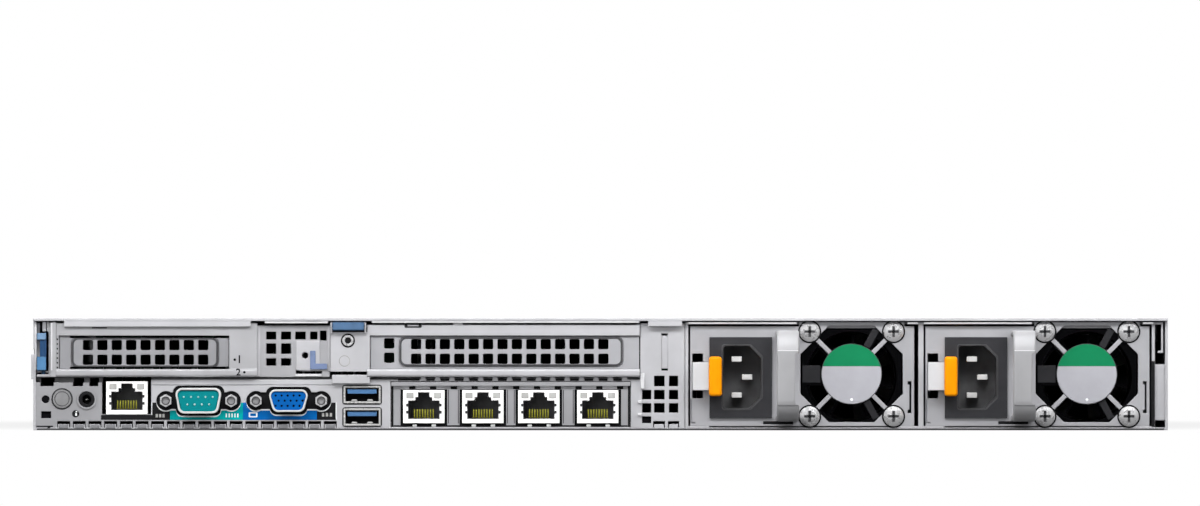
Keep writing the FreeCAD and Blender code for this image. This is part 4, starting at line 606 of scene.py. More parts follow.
# %% Shells, pins and holes
teal = plastic("serial_teal", (0.001, 0.175, 0.190), 0.45, spread=0.05, shine=0.1)
port_blue = plastic("video_blue", (0.001, 0.082, 0.310), 0.45, spread=0.05, shine=0.1)
shell_metal = metal("d_shell_metal", (0.74, 0.75, 0.75), 0.32, spangle=150.0, edge=0.0003)
# Partly painted reflection: plain metal pins, tinted teal for the insulator that they mirror.
pin_metal = metal("pin_metal", (0.55, 0.78, 0.78), 0.30, spangle=500.0)
PIN_PITCH, PIN_ROW = 2.77, 1.42
HOLE_PITCH, HOLE_ROW = 2.29, 1.98
SHELL_DEPTH = (-5.6, 1.0)

shell = [d_loop(SERIAL, 0.35, 2.5), d_loop(SERIAL, -0.45, 1.8)]
plate("serial_shell", shell, SHELL_DEPTH, shell_metal, soft=0.08)
plate("serial_insulator", [d_loop(SERIAL, -0.5, 1.4)], (-4.9, -0.62), teal)
pins = []
for count, z in ((5, D_MIDDLE + PIN_ROW), (4, D_MIDDLE - PIN_ROW)):
    for i in range(count):
        pins.append(round_loop(SERIAL["x"] + (i - (count - 1) / 2) * PIN_PITCH, z, 0.38, 12))
plate("serial_pins", pins, (-5.15, -4.85), pin_metal, soft=0.1)

shell = [d_loop(VIDEO, 0.2, 2.4), d_loop(VIDEO, -0.5, 1.8)]
plate("video_shell", shell, SHELL_DEPTH, shell_metal, soft=0.08)
holes = []
for row, shift in ((1, 0.0), (0, 1.15), (-1, 0.0)):
    for i in range(5):
        x = VIDEO["x"] - 0.3 + (i - 2) * HOLE_PITCH + shift
        holes.append(round_loop(x, D_MIDDLE + row * HOLE_ROW, 0.43, 12))
video_face = [d_loop(VIDEO, -0.5, 1.4)] + holes
plate("video_insulator", video_face, (-5.05, -4.85), port_blue)
print("pins:", len(pins), "holes:", len(holes))

# %% [markdown]
# ## Jackscrews
# A lead is held to its port by two screws, and the port has a threaded post for each. The posts are in the
# loaded model. Modelled threads would take more faces than the whole port, and they would hardly show. So a
# plate a little way down each bore gives it a floor in a darker grey of painted shade, and a dark ring of
# painted shade marks the rim.

# %% Jackscrew bores and rings
bore_painted_shade = metal("bore_painted_shade", (0.34, 0.34, 0.35), 0.4, spangle=400.0)
recess_painted_shade = metal("recess_painted_shade", (0.10, 0.10, 0.105), 0.4, spangle=400.0)
SCREW_PITCH = 24.99
bores, rings = [], []
for port in (SERIAL, VIDEO):
    for side in (-1, 1):
        x = port["x"] + side * SCREW_PITCH / 2
        bores.append(round_loop(x, D_MIDDLE, 1.24, 20))
        rings += [round_loop(x, D_MIDDLE, 1.68, 20), round_loop(x, D_MIDDLE, 1.27, 20)]
# Painted shade: a darker grey floor in each bore and a dark ring on each rim.
plate("jackscrew_bores", bores, (-2.9, -2.6), bore_painted_shade)
plate("jackscrew_rings", rings, (-3.78, -3.69), recess_painted_shade)
print("jackscrews:", len(bores))

# %% [markdown]
# ## Label strip under the ports
# A printed strip runs below the serial and video ports in the same code of teal and blue, with black ends.
# Its upper edge follows the cut-outs. A Boolean cut would do that too, but for each x we can work out how low
# the cut-out reaches and stop short of it, which leaves a clean mesh. A white strip a little larger lies under
# it and shows as a fine outline. The signs on it are plain bars.

# %% Strip outline
LABEL_TOP = 10.6
LABEL_BASE = 3.95
STRIP_STEP = 0.25
SCREW_HOLE_R = 3.7
WEB_HALF = 3.2
SHELL_GAP = 1.2
FLAT_SHORT = 2.2
CORNER_R, CORNER_REACH = 2.6, 2.4


def cutout_floor(x):
    """Lowest point of the ports' cut-outs above this x."""
    lows = [math.inf]
    for port in (SERIAL, VIDEO):
        offset = abs(x - port["x"])
        from_screw = offset - SCREW_PITCH / 2
        if offset < SCREW_PITCH / 2:
            lows.append(D_MIDDLE - WEB_HALF)
        if abs(from_screw) < SCREW_HOLE_R:
            lows.append(D_MIDDLE - math.sqrt(SCREW_HOLE_R ** 2 - from_screw ** 2))
        base = D_MIDDLE - port["half"] - SHELL_GAP
        past_flat = offset - (port["bottom"] + SHELL_GAP - FLAT_SHORT)
        if past_flat < 0.0:
            lows.append(base)
        elif past_flat < CORNER_REACH:
            lows.append(base + CORNER_R - math.sqrt(CORNER_R ** 2 - past_flat ** 2))
    return min(lows)


def strip_loop(x0, x1, margin):
    top = []
    steps = max(2, round((x1 - x0) / STRIP_STEP))
    for i in range(steps + 1):
        x = x0 + (x1 - x0) * i / steps
        top.append((x, min(LABEL_TOP, cutout_floor(x) - margin)))
    return [(x1, LABEL_BASE), (x0, LABEL_BASE)] + top


print("cut-out above the middle of the serial port at z =", round(cutout_floor(SERIAL["x"]), 2))

# %% Printed strip
white_ink = plastic("white_ink", (0.82, 0.84, 0.85), 0.5)
# Black for print, and also for many dark plates below that are painted shade in gaps, slots and recesses.
black_print_and_shade = plastic("black_print_and_shade", (0.010, 0.010, 0.011), 0.5, shine=0.1)
label_teal = plastic("label_teal", (0.0, 0.335, 0.345), 0.5, shine=0.1)
label_blue = plastic("label_blue", (0.001, 0.112, 0.39), 0.5, shine=0.1)
LABEL_ENDS = (-171.7, -101.0)
SIGN_DEPTH = (-0.13, -0.09)
plate("label_outline", [strip_loop(*LABEL_ENDS, 0.05)], (-0.06, 0.0), white_ink)
for name, x0, x1, ink in (
    ("label_left", -171.5, -164.7, black_print_and_shade),
    ("label_serial", -164.7, -136.8, label_teal),
    ("label_video", -136.8, -108.5, label_blue),
    ("label_right", -108.5, -101.3, black_print_and_shade),
):
    plate(name, [strip_loop(x0, x1, 0.55)], (-0.1, -0.05), ink)
plate("label_band", [box_loop((-191.1, -171.5), (4.0, 5.9))], (-0.1, 0.0), black_print_and_shade)
marks = [box_loop((-170.2 + i * 1.3, -169.3 + i * 1.3), (4.9, 6.2)) for i in range(3)]
marks += [box_loop((-106.6 + i * 1.5, -105.7 + i * 1.5), (5.2, 6.6)) for i in range(3)]
plate("label_marks", marks, SIGN_DEPTH, lamp_grey)
bars = [box_loop((-143.4 + i * 1.1, -142.9 + i * 1.1), (4.9, 6.4)) for i in range(5)]
plate("serial_sign", bars, SIGN_DEPTH, white_ink)
screen = [box_loop((-134.6, -131.2), (4.9, 6.9), 0.4), box_loop((-134.0, -131.8), (5.4, 6.4), 0.2)]
plate("video_sign", screen, SIGN_DEPTH, white_ink)
print("label strip from", LABEL_ENDS[0], "to", LABEL_ENDS[1])

# %% [markdown]
# ## USB sockets
# Each socket is a nickel shell around a blue tongue, and a dark band of painted shade marks the gap where it
# meets the wall. Two bright spring bumps show at the mouth's lower edge. The shell is loaded as an open box.
# Its inside lies in shade, and a black inside could be painted on its faces, but a thin black lining and a back
# wall, painted shade too, keep the shell's bright rim clean.

# %% USB linings, tongues and springs
tongue_blue = plastic("usb_tongue", (0.055, 0.14, 0.29), 0.4)
USB_X = (-98.3, -84.1)
USB_ROWS = ((10.3, 16.95), (1.7, 8.35))
SPRINGS_X = (-94.2, -88.2)


def usb_loop(row, inset, radius=0.0):
    """The outline of a socket, drawn smaller by the inset."""
    return box_loop((USB_X[0] + inset, USB_X[1] - inset), (row[0] + inset, row[1] - inset), radius)


for number, row in enumerate(USB_ROWS, 1):
    low, high = row
    inner = usb_loop(row, 0.72)
    shade_band = [usb_loop(row, -0.5, 1.1), usb_loop(row, -0.02, 0.5)]
    # Painted shade: a black band round the shell for the shaded gap, and a black lining and back wall for the
    # shaded inside.
    plate(f"usb_{number}_gasket", shade_band, (-0.2, 0.0), jack_black_and_shade)
    plate(f"usb_{number}_lining", [inner, usb_loop(row, 0.9)], (-0.3, 11.8), jack_black_and_shade)
    plate(f"usb_{number}_back", [inner], (11.7, 11.95), jack_black_and_shade)
    tongue = box_loop((USB_X[0] + 1.5, USB_X[1] - 1.5), (high - 3.0, high - 1.2), 0.3)
    plate(f"usb_{number}_tongue", [tongue], (0.3, 11.5), tongue_blue, soft=0.1)
    bumps = []
    for x in SPRINGS_X:
        bump = [(x - 1.3, low + 0.8), (x + 1.3, low + 0.8), (x + 0.8, low + 1.5), (x - 0.8, low + 1.5)]
        bumps.append(softened(bump, 0.2))
    plate(f"usb_{number}_springs", bumps, (0.2, 4.0), finishes["shell_nickel"])
print("usb sockets dressed:", len(USB_ROWS))

# %% [markdown]
# ## Network card gasket
# Round the four jacks a black foam gasket seals the gap to the card's face plate, and below them a row of
# grounding fingers presses on the sill. Without the foam we would look past the jacks into the case. It is one
# plate with four holes, which is what the real one is, so it is cut in one go.

# %% Gasket and grounding fingers
# A dark grey for painted shade in gaps, grooves and creases.
painted_shade_line = metal("painted_shade_line", (0.085, 0.085, 0.09), 0.5)
GASKET = ((-79.7, 11.0), (1.3, 16.7))
jack_holes = [box_loop((x - 0.03, x + 15.83), (2.67, 15.33)) for x in LAN_JACKS]
# The foam is real, and its black also stands in for the shade in the gap round the jacks.
plate("lan_gasket", [box_loop(*GASKET)] + jack_holes, (2.3, 3.2), black_print_and_shade)
fingers = []
for x in LAN_JACKS:
    fingers += [box_loop(around(x + place, 1.7), (1.3, 2.2), 0.3) for place in (4.4, 11.7)]
plate("lan_fingers", fingers, (0.2, 2.3), shell_metal, soft=0.1)
# Painted shade: black strips along the edges of the bay.
bay_lines = [
    box_loop((-80.0, -79.25), (1.3, 17.0)),
    box_loop((10.5, 11.3), (1.3, 17.0)),
    box_loop((-79.2, 10.4), (1.35, 1.9)),
]
plate("lan_bay_lines", bay_lines, (1.08, 1.2), black_print_and_shade)
# Painted shade: dark lines in the gaps between the pads.
pad_lines = []
for left, right in zip(LAN_JACKS, LAN_JACKS[1:]):
    for x in (left + 17.3, right - 1.5):
        pad_lines.append(box_loop(around(x, 0.3), (2.6, 15.4)))
plate("lan_pad_lines", pad_lines, (1.1, 1.2), painted_shade_line)
print("grounding fingers:", len(fingers))

# %% [markdown]
# ## Left corner
# In the low left corner are a dark lamp hole, the round identification button, the jack for a status lead and
# a small round information sign. Above them is a blue latch, painted in three tones of one blue: painted shade
# in its recess and painted light on its top and thumb. The button's rings are painted shade, of the gap round
# it and of a fine groove on it, and the sign is print, so thin rings and discs laid on the faces are enough.
# What lies on the button or on the latch rides on it, and moves when it is pressed or swung. A square hole here
# and a vent in the middle column look black, so a dark plate of painted shade closes each of them from behind.

# %% Lamp hole, button, status jack and sign
lamp_glass_and_shade = plastic("lamp_glass_and_shade", (0.004, 0.004, 0.005), 0.5, shine=0.04)
LAMP_HOLE = (-212.3, 11.8)
BUTTON = (-206.0, 12.0)
STATUS_JACK = (-196.6, 11.8)


def ring_loops(middle, outer, inner):
    return [round_loop(*middle, outer), round_loop(*middle, inner)]


plate("lamp_lens", [round_loop(*LAMP_HOLE, 1.48)], (0.3, 1.0), lamp_glass_and_shade, soft=0.25)
# Painted shade: a dark ring for the gap round the button and one for a groove on it.
plate("button_ring", ring_loops(BUTTON, 4.15, 3.7), (-0.08, 0.0), painted_shade_line)
button_groove = ring_loops(BUTTON, 2.9, 2.6)
plate("button_inset", button_groove, (-0.75, -0.69), painted_shade_line, "id_button")
plate("jack_collar", ring_loops(STATUS_JACK, 3.1, 1.85), (-0.5, -0.4), black_print_and_shade)
plate("jack_rim", ring_loops(STATUS_JACK, 3.85, 3.1), (-0.5, -0.38), wall_sheet)
jack_pin = round_loop(*STATUS_JACK, 0.32, 14)
plate("jack_pin", [jack_pin], (0.5, 9.8), lamp_grey, soft=0.15)
plate("mark_disc", [round_loop(-200.8, 6.3, 1.4)], (-0.05, 0.0), black_print_and_shade)
mark = [box_loop((-200.95, -200.3), (5.5, 6.6), 0.1), round_loop(-200.5, 7.1, 0.3, 12)]
plate("mark_bar", mark, (-0.08, -0.04), white_ink)
print("button at", BUTTON, "status jack at", STATUS_JACK)

# %% Shaded holes, painted light and shade on the latch, and post spots
latch_shaded_blue = plastic("latch_painted_shade", (0.012, 0.045, 0.115), 0.4)
latch_lit_top_blue = plastic("latch_painted_light_top", (0.12, 0.20, 0.31), 0.4, shine=0.15)
latch_lit_thumb_blue = plastic("latch_painted_light_thumb", (0.060, 0.155, 0.29), 0.4, shine=0.15)
for name, x, z in (
    ("square_hole_shade", (-214.3, -209.9), (4.3, 7.5)),
    ("column_vent_shade", (15.6, 19.7), (2.4, 5.6)),
):
    # Painted shade: a black plate behind each hole.
    plate(name, [box_loop(x, z)], (1.04, 1.2), lamp_glass_and_shade)
# Painted light and shade: one blue latch in a shaded tone and two lit tones.
for name, x, z, depth, finish in (
    ("latch_shade", (-214.45, -211.95), (28.3, 34.5), (-1.3, -1.15), latch_shaded_blue),
    ("latch_top", (-215.5, -212.1), (34.7, 37.1), (-1.95, -1.8), latch_lit_top_blue),
    ("latch_thumb", (-215.5, -212.1), (23.0, 28.1), (-2.15, -2.0), latch_lit_thumb_blue),
):
    plate(name, [box_loop(x, z, 0.4)], depth, finish, "riser_latch_left", 0.06)
spots = [box_loop(around(-207.75, 0.5), around(24.0 + i * 1.8, 0.7), 0.1) for i in range(7)]
plate("post_spots", spots, (-1.66, -1.6), black_print_and_shade)
print("spots on the post:", len(spots))

# %% [markdown]
# ## Riser fittings
# The plate between the slots has a blue touch point and a loose tab, and the latch plate beside it shows a
# screw head and a stamped ring. The two slots are numbered. The numbers could be drawn as outlines, but
# Blender's own text object has a plain font, and it rides on a body as any piece does.

# %% Touch point, latch screw and stamped ring
touch_blue = plastic("touch_blue", (0.13, 0.17, 0.28), 0.4, shine=0.15)
sheet = finishes["zinc_steel"]
screw = finishes["screw_steel"]
LATCH_SCREW = (-96.6, 34.3)
STAMPED_RING = (-97.9, 26.5)
tab = [box_loop((-116.4, -107.4), (22.9, 34.2), 0.3), round_loop(-113.0, 28.6, 1.2)]
plate("vent_tab", tab, (-0.6, 0.0), sheet, soft=0.1)
touch = [(-111.1, 23.3), (-104.6, 23.3), (-104.6, 25.5), (-109.0, 25.5), (-109.0, 30.4), (-111.1, 30.4)]
plate("touch_point", [softened(touch, 0.25, 3)], (-1.2, -0.55), touch_blue, soft=0.12)
# Painted shade: a black seat shows as a dark ring round the screw head.
plate("latch_screw_seat", [round_loop(*LATCH_SCREW, 2.7)], (-1.75, -1.55), black_print_and_shade)
head = ring_loops(LATCH_SCREW, 2.15, 1.2)
plate("latch_screw_head", head, (-2.3, -1.7), screw, soft=0.15)
plate("stamped_ring", ring_loops(STAMPED_RING, 2.15, 1.9), (-1.66, -1.58), lamp_grey)
print("touch point with", len(touch), "corners")

# %% Slot numbers
INK_HALF = 0.03
INK_BOLD = 0.06


def number_mark(text, x, z, size, depth):
    drawing = bpy.data.curves.new("slot_number_" + text, "FONT")
    drawing.body = text
    drawing.size = size * MM
    drawing.extrude = INK_HALF * MM
    drawing.offset = INK_BOLD * MM
    drawing.materials.append(black_print_and_shade)
    mark = bpy.data.objects.new("slot_number_" + text, drawing)
    scene.collection.objects.link(mark)
    mark.location = (x * MM, (REAR_WALL + depth) * MM, z * MM)
    mark.rotation_euler = (math.pi / 2, 0.0, 0.0)
    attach(mark, "chassis")


number_mark("1", -139.2, 25.7, size=4.3, depth=-1.65)
number_mark("2", -139.4, 21.0, size=3.7, depth=-3.03)
plate("slot_dot_1", [round_loop(-139.9, 27.0, 0.5)], (-1.68, -1.6), black_print_and_shade)
plate("slot_dot_2", [round_loop(-136.2, 22.2, 0.5)], (-3.06, -2.98), black_print_and_shade)
print("slots numbered 1 and 2")

# %% [markdown]
# ## Seams and painted highlights
# Edges of the sheets that face the lamps show bright, and folds and seams hold a dark line of shade. From a
# distance these lines draw the whole rear wall. We paint them: the bright lines as painted highlights and the
# dark lines as painted shade, laid on as thin strips, each one on the sheet that it belongs to, and the strips
# under the lid go up with the lid.

# %% Painted highlights on edges
# Painted highlight: a pale strip for each edge that catches the light.
painted_highlight = metal("painted_highlight", (0.80, 0.80, 0.82), 0.36)
edges = (
    ("vent_seam_left", (-131.35, -130.2), (20.6, 40.0), (-0.15, 0.4), sheet, "chassis"),
    ("vent_seam_right", (-104.3, -103.4), (22.6, 40.0), (-0.15, 0.4), sheet, "chassis"),
    ("cover_fold_middle", (-128.4, -104.2), (40.9, 41.8), (-2.8, -2.2), painted_highlight, "cover"),
    ("cover_fold_right", (-87.5, 14.8), (41.05, 41.8), (-3.0, -2.4), painted_highlight, "cover"),
    ("vent_lip", (-116.7, -106.7), (20.65, 21.35), (-1.2, 0.0), painted_highlight, "chassis"),
    ("hem_end_tab", (15.3, 16.8), (15.9, 21.9), (-1.3, 0.0), painted_highlight, "chassis"),
    ("column_nub_upper", (14.3, 15.8), (10.4, 11.4), (-1.0, 0.0), painted_highlight, "chassis"),
    ("column_nub_lower", (14.3, 15.8), (5.6, 6.6), (-1.0, 0.0), painted_highlight, "chassis"),
    ("corner_rim", (-216.3, -215.75), (22.9, 41.4), (-0.2, 0.4), painted_highlight, "chassis"),
    ("corner_strip_left", (-213.6, -212.1), (37.8, 41.5), (2.2, 3.0), painted_highlight, "chassis"),
    ("corner_strip_right", (-211.8, -211.0), (37.8, 41.5), (1.2, 2.0), painted_highlight, "chassis"),
    ("post_rim", (-210.25, -209.6), (22.9, 41.0), (-2.46, -2.4), painted_highlight, "chassis"),
)
for name, x, z, depth, finish, body in edges:
    plate(name, [box_loop(x, z)], depth, finish, body)
SUPPLIES = (("left", 0.0), ("right", 90.0))
CAGE_EDGE = (40.7, 41.2)
for side, shift in SUPPLIES:
    runs = [box_loop((start + shift, end + shift), CAGE_EDGE) for start, end in ((33.7, 75.0), (117.4, 121.4))]
    plate(f"cage_edge_{side}", runs, (-2.9, 0.0), painted_highlight, "chassis")
print("bright edges:", len(edges) + len(SUPPLIES))

# %% Painted shade: rims, tabs, foot line and slit
tab_painted_shade = metal("tab_painted_shade", (0.27, 0.27, 0.285), 0.5)
ISLANDS = {"left": ((-202.1, -146.4), (24.2, 35.3)), "right": ((-76.7, 8.3), (24.7, 35.5))}
ISLAND_FRONT = -1.3
ISLAND_R = 2.2
RIM = 0.6
for side, (x, z) in ISLANDS.items():
    inner = box_loop((x[0] + RIM, x[1] - RIM), (z[0] + RIM, z[1] - RIM), ISLAND_R - 0.3)
    depth = (ISLAND_FRONT - 0.05, ISLAND_FRONT + 0.05)
    # Painted shade: a dark rim round each raised island, for its shaded side.
    plate(f"island_{side}_rim", [box_loop(x, z, ISLAND_R), inner], depth, painted_shade_line)
tabs = [box_loop((-207.15 + i * 6.0, -203.65 + i * 6.0), (0.75, 2.2)) for i in range(18)]
# Painted shade: the foot tabs tilt away and are darkened.
plate("wall_tabs", tabs, (-0.07, 0.0), tab_painted_shade)
foot_line = box_loop((-215.6, 215.6), (0.05, 0.7))
# Painted shade: a dark line along the foot of the wall.
plate("wall_foot_line", [foot_line], (-0.08, 0.0), painted_shade_line)
slit = [
    (-215.9, 1.25), (-211.6, 1.25), (-211.6, 0.8), (-210.6, 0.8),
    (-210.6, 1.25), (-209.5, 1.25), (-209.5, 1.75), (-215.9, 1.75),
]
# Painted shade: a black slit in the corner.
plate("corner_slit", [slit], (-0.09, 0.0), black_print_and_shade)
print("tabs along the foot:", len(tabs))

# %% Painted shade in dashes, clip and gaps, and a painted highlight
DASH_PITCH = 5.51
# Painted shade: black dashes for shaded gaps below the band and the hem.
band_dash = box_loop((-194.5, -188.8), (38.95, 39.35))
plate("band_dash", [band_dash], (-1.68, -1.58), black_print_and_shade)
dashes = [box_loop((-66.7 + i * DASH_PITCH, -63.5 + i * DASH_PITCH), (18.9, 19.6)) for i in range(14)]
dashes.append(box_loop((-77.5, -69.2), (19.0, 19.7)))
plate("hem_dashes", dashes, (-0.07, 0.0), black_print_and_shade)
clip = [box_loop((-75.0, -68.4), (39.2, 41.0), 0.5), box_loop((-73.9, -69.5), (39.8, 40.9), 0.3)]
# Painted shade: a black outline round the clip.
plate("cover_clip", clip, (-1.72, -1.58), black_print_and_shade)
# Painted highlight: a bright dash on the band.
plate("band_glint", [box_loop((-56.4, -52.6), (40.25, 40.95), 0.1)], (-1.6, -0.8), painted_highlight)
# Painted shade: a black strip in the gap at the cage's end.
plate("cage_end_gap", [box_loop((210.75, 212.05), (1.3, 26.5))], (-0.06, 0.0), black_print_and_shade)
print("dashes:", len(dashes))

# %% [markdown]
# ## Supply labels and blades
# A supply's face shows most of the skill in this server. Its finger guard is stamped from the face sheet, and
# the disc in the middle carries a round label, plain green above and plain grey below. Two materials on one
# disc would need a cut across its faces, so the label is two segments that meet at a chord. The inlet's three
# blades are bright metal in black plastic.

# %% Label halves
screw_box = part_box("psu_left_fan_screws")
HUB = tuple((screw_box[0][axis] + screw_box[1][axis]) / 2 / MM for axis in (0, 2))
LABEL_R = 11.4
CHORD = 2.95
ARC_STEPS = 40


def label_segment(x, upper):
    """One part of the round label, above or below its chord."""
    start = math.asin(CHORD / LABEL_R)
    turn = math.pi - 2 * start if upper else -(math.pi + 2 * start)
    angles = [start + turn * i / ARC_STEPS for i in range(ARC_STEPS + 1)]
    return [(x + LABEL_R * math.cos(a), HUB[1] + LABEL_R * math.sin(a)) for a in angles]


print("hub of the left fan at", [round(place, 2) for place in HUB])

# %% Supply labels and inlet blades
label_green = plastic("label_green", (0.001, 0.165, 0.064), 0.4, spread=0.04)
label_grey = plastic("label_grey", (0.34, 0.34, 0.37), 0.42, spread=0.03)
blade = metal("inlet_blade", (0.86, 0.86, 0.86), 0.18, spangle=400.0, edge=0.0004)
BLADES = ((52.1, 27.2), (56.1, 20.3), (52.1, 13.4))
LABEL_DEPTH = (-0.18, 0.0)
for side, shift in SUPPLIES:
    supply = f"psu_{side}"
    x = HUB[0] + shift
    plate(f"{supply}_label_top", [label_segment(x, True)], LABEL_DEPTH, label_green, supply)
    plate(f"{supply}_label_base", [label_segment(x, False)], LABEL_DEPTH, label_grey, supply)
    dot = round_loop(x, HUB[1] - 9.8, 0.55)
    plate(f"{supply}_label_dot", [dot], (-0.24, -0.15), white_ink, supply)
    blades = [box_loop(around(bx + shift, 4.0), around(bz, 2.1), 0.3) for bx, bz in BLADES]
    plate(f"{supply}_blades", blades, (1.4, 14.0), blade, supply, soft=0.25)
    # Painted shade: a dark ring round the label.
    edge = [round_loop(x, HUB[1], LABEL_R + 0.25, 60), round_loop(x, HUB[1], LABEL_R, 60)]
    plate(f"{supply}_label_edge", edge, (-0.12, 0.0), painted_shade_line, supply)
    # Painted shade: a black plate widens the slot's shade under the handle.
    foot_slot = box_loop((62.2 + shift, 73.6 + shift), (2.3, 3.45))
    plate(f"{supply}_foot_slot", [foot_slot], (-0.06, 0.0), black_print_and_shade, supply)
print("supplies dressed:", len(SUPPLIES))

# %% [markdown]
# ## Inlet sockets and fan struts
# The inlet is a socket with two cut corners, so that a plug goes in one way only. Like the jacks it gets a thin
# lining and a floor, in greys lighter than its black plastic, painted light so that its depth is seen, and a
# lighter line on its rim, a painted highlight. Behind the finger guard three struts hold the fan's
# motor. They lie on the fan frame's face, where they show through the guard and clear the blades.

# %% Inlet sockets
socket_grey = plastic("socket_grey", (0.055, 0.055, 0.058), 0.5, shine=0.15)
socket_floor_painted_light = plastic("socket_floor_painted_light", (0.13, 0.13, 0.135), 0.5, shine=0.15)
socket_rim_highlight = plastic("socket_rim_highlight", (0.055, 0.055, 0.058), 0.5)
INLET_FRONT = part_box("psu_left_inlet")[0].y / MM - REAR_WALL
SOCKET = ((46.6, 61.8), (8.0, 32.6))
SOCKET_CUT = 4.6


def socket_loop(shift, grow):
    """The socket's outline with its two cut corners on the right."""
    left, right = SOCKET[0][0] - grow, SOCKET[0][1] + grow
    low, high = SOCKET[1][0] - grow, SOCKET[1][1] + grow
    corners = [
        (left, low), (right - SOCKET_CUT, low), (right, low + SOCKET_CUT),
        (right, high - SOCKET_CUT), (right - SOCKET_CUT, high), (left, high),
    ]
    return softened([(x + shift, z) for x, z in corners], 1.2)


for side, shift in SUPPLIES:
    supply = f"psu_{side}"
    # Painted light: a lining and floor lighter than the black plastic; painted highlight: a lighter line on the
    # rim.
    lining = [socket_loop(shift, -0.02), socket_loop(shift, -0.35)]
    plate(f"{supply}_socket_lining", lining, (INLET_FRONT + 0.1, 14.6), socket_grey, supply)
    back = socket_loop(shift, -0.1)
    plate(f"{supply}_socket_floor_painted_light", [back], (14.4, 14.75), socket_floor_painted_light, supply)
    outline = [socket_loop(shift, 0.3), socket_loop(shift, 0.0)]
    depth = (INLET_FRONT - 0.04, INLET_FRONT + 0.02)
    plate(f"{supply}_socket_highlight", outline, depth, socket_rim_highlight, supply)
print("inlet face at depth", round(INLET_FRONT, 2))

# %% Fan struts
strut_grey = plastic("strut_grey", (0.020, 0.020, 0.022), 0.5, shine=0.1)
FRAME_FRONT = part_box("psu_left_fan_frame")[0].y / MM - REAR_WALL
STRUT_START = 11.9
STRUTS = ((61.0, 19.4, 2.6), (299.0, 19.4, 2.6), (180.0, 18.8, 6.6))


def strut_loop(x, angle, end, width):
    """A straight strut from the motor outwards, at an angle in degrees."""
    turn = math.radians(angle)
    along = Vector((math.cos(turn), math.sin(turn)))
    across = Vector((-along.y, along.x)) * width / 2
    inner, outer = along * STRUT_START, along * end
    corners = (inner - across, outer - across, outer + across, inner + across)
    return [(x + corner.x, HUB[1] + corner.y) for corner in corners]


for side, shift in SUPPLIES:
    struts = [strut_loop(HUB[0] + shift, *strut) for strut in STRUTS]
    depth = (FRAME_FRONT - 0.12, FRAME_FRONT)
    plate(f"psu_{side}_fan_struts", struts, depth, strut_grey, f"psu_{side}")
print("fan frame at depth", round(FRAME_FRONT, 2))

# %% [markdown]
# ## Handle bends
# A supply's handle is a strip bent to a U. The bends are in the loaded model, but from straight behind a smooth
# bend hardly shows, where on the real strip the light and shade of the bends draw a dark line and a bright one.
# We paint thin lines across the strip at the bends, level with its foremost face: dark ones of painted shade
# and, above the upper one, a bright one of painted highlight.

# %% Painted shade and highlight on the handles
handle_painted_shade = metal("handle_painted_shade", (0.20, 0.20, 0.21), 0.5)
HANDLE_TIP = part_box("psu_left_handle")[0].y / MM - REAR_WALL
HANDLE_X = (67.4, 75.2)
CREASES = ((29.95, 30.25), (9.5, 9.8))
HANDLE_HIGHLIGHT = (30.25, 30.6)
for side, shift in SUPPLIES:
    supply = f"psu_{side}"
    across = (HANDLE_X[0] + shift, HANDLE_X[1] + shift)
    # Painted shade at the bends and a painted highlight above the upper one.
    bends = [box_loop(across, crease) for crease in CREASES]
    depth = (HANDLE_TIP + 0.14, HANDLE_TIP + 0.6)
    plate(f"{supply}_handle_bends", bends, depth, handle_painted_shade, supply)
    depth = (HANDLE_TIP, HANDLE_TIP + 0.5)
    plate(f"{supply}_handle_highlight", [box_loop(across, HANDLE_HIGHLIGHT)], depth, painted_highlight, supply)
print("handles reach depth", round(HANDLE_TIP, 2))

# %% [markdown]
# ## Cross recesses
# A screw this small reads as a screw by the shade in its cross recess and in the ring where its head meets the
# sheet.
# Real recesses would need a cut in each head. From this distance painted shade looks the same: a dark cross on
# the head, with a black spot where the recess is deepest, and a black ring round the head.

# %% Screw crosses and rings
SCREW_SPACING = (32.1, 32.4)


def cross_loop(x, z, reach, width):
    a, b = reach, width / 2
    upper = [(a, -b), (a, b), (b, b), (b, a), (-b, a), (-b, b)]
    lower = [(-dx, -dz) for dx, dz in upper]
    return [(x + dx, z + dz) for dx, dz in upper + lower]


for side, shift in SUPPLIES:
    supply = f"psu_{side}"
    places = []
    for i in (-1, 1):
        for k in (-1, 1):
            places.append((HUB[0] + shift + i * SCREW_SPACING[0] / 2, HUB[1] + k * SCREW_SPACING[1] / 2))
    # Painted shade: a dark cross and black spot for the recess, and a black ring where the head meets the
    # sheet.
    crosses = [cross_loop(x, z, 2.05, 0.92) for x, z in places]
    plate(f"{supply}_screw_crosses", crosses, (-1.3, -1.1), recess_painted_shade, supply)
    spots = [round_loop(x, z, 0.62, 16) for x, z in places]
    plate(f"{supply}_screw_spots", spots, (-1.38, -1.25), black_print_and_shade, supply)
    for number, place in enumerate(places, 1):
        ring = ring_loops(place, 4.45, 3.8)
        plate(f"{supply}_screw_ring_{number}", ring, (-0.1, 0.0), black_print_and_shade, supply)
print("screws:", len(SUPPLIES) * len(places))

# %% [markdown]
# ## Parts on the system board
# With the lid off we look down on the system board, and a bare green sheet would look unfinished. So we lay out
# what such a board carries: a chipset under fins, plain chips, rows of capacitors and coils by the processors,
# headers and a coin battery. These are low parts that no moving piece reaches. The same outline helper cuts
# them, lying down, with x to the right and y towards the drives.

# %% Pieces that lie flat
BOARD_TOP = 6.1


def lay(name, loops, height, finish, soft=0.0, base=BOARD_TOP, body="chassis"):
    """Cuts one piece that lies flat, between two heights above the board or another base."""
    low, high = base + height[0], base + height[1]
    mesh = cut_sheet(name, loops, high - low, soft)
    mesh.transform(Matrix.Translation((0.0, 0.0, (low + high) / 2 * MM)))
    fix(name, mesh, finish, body)


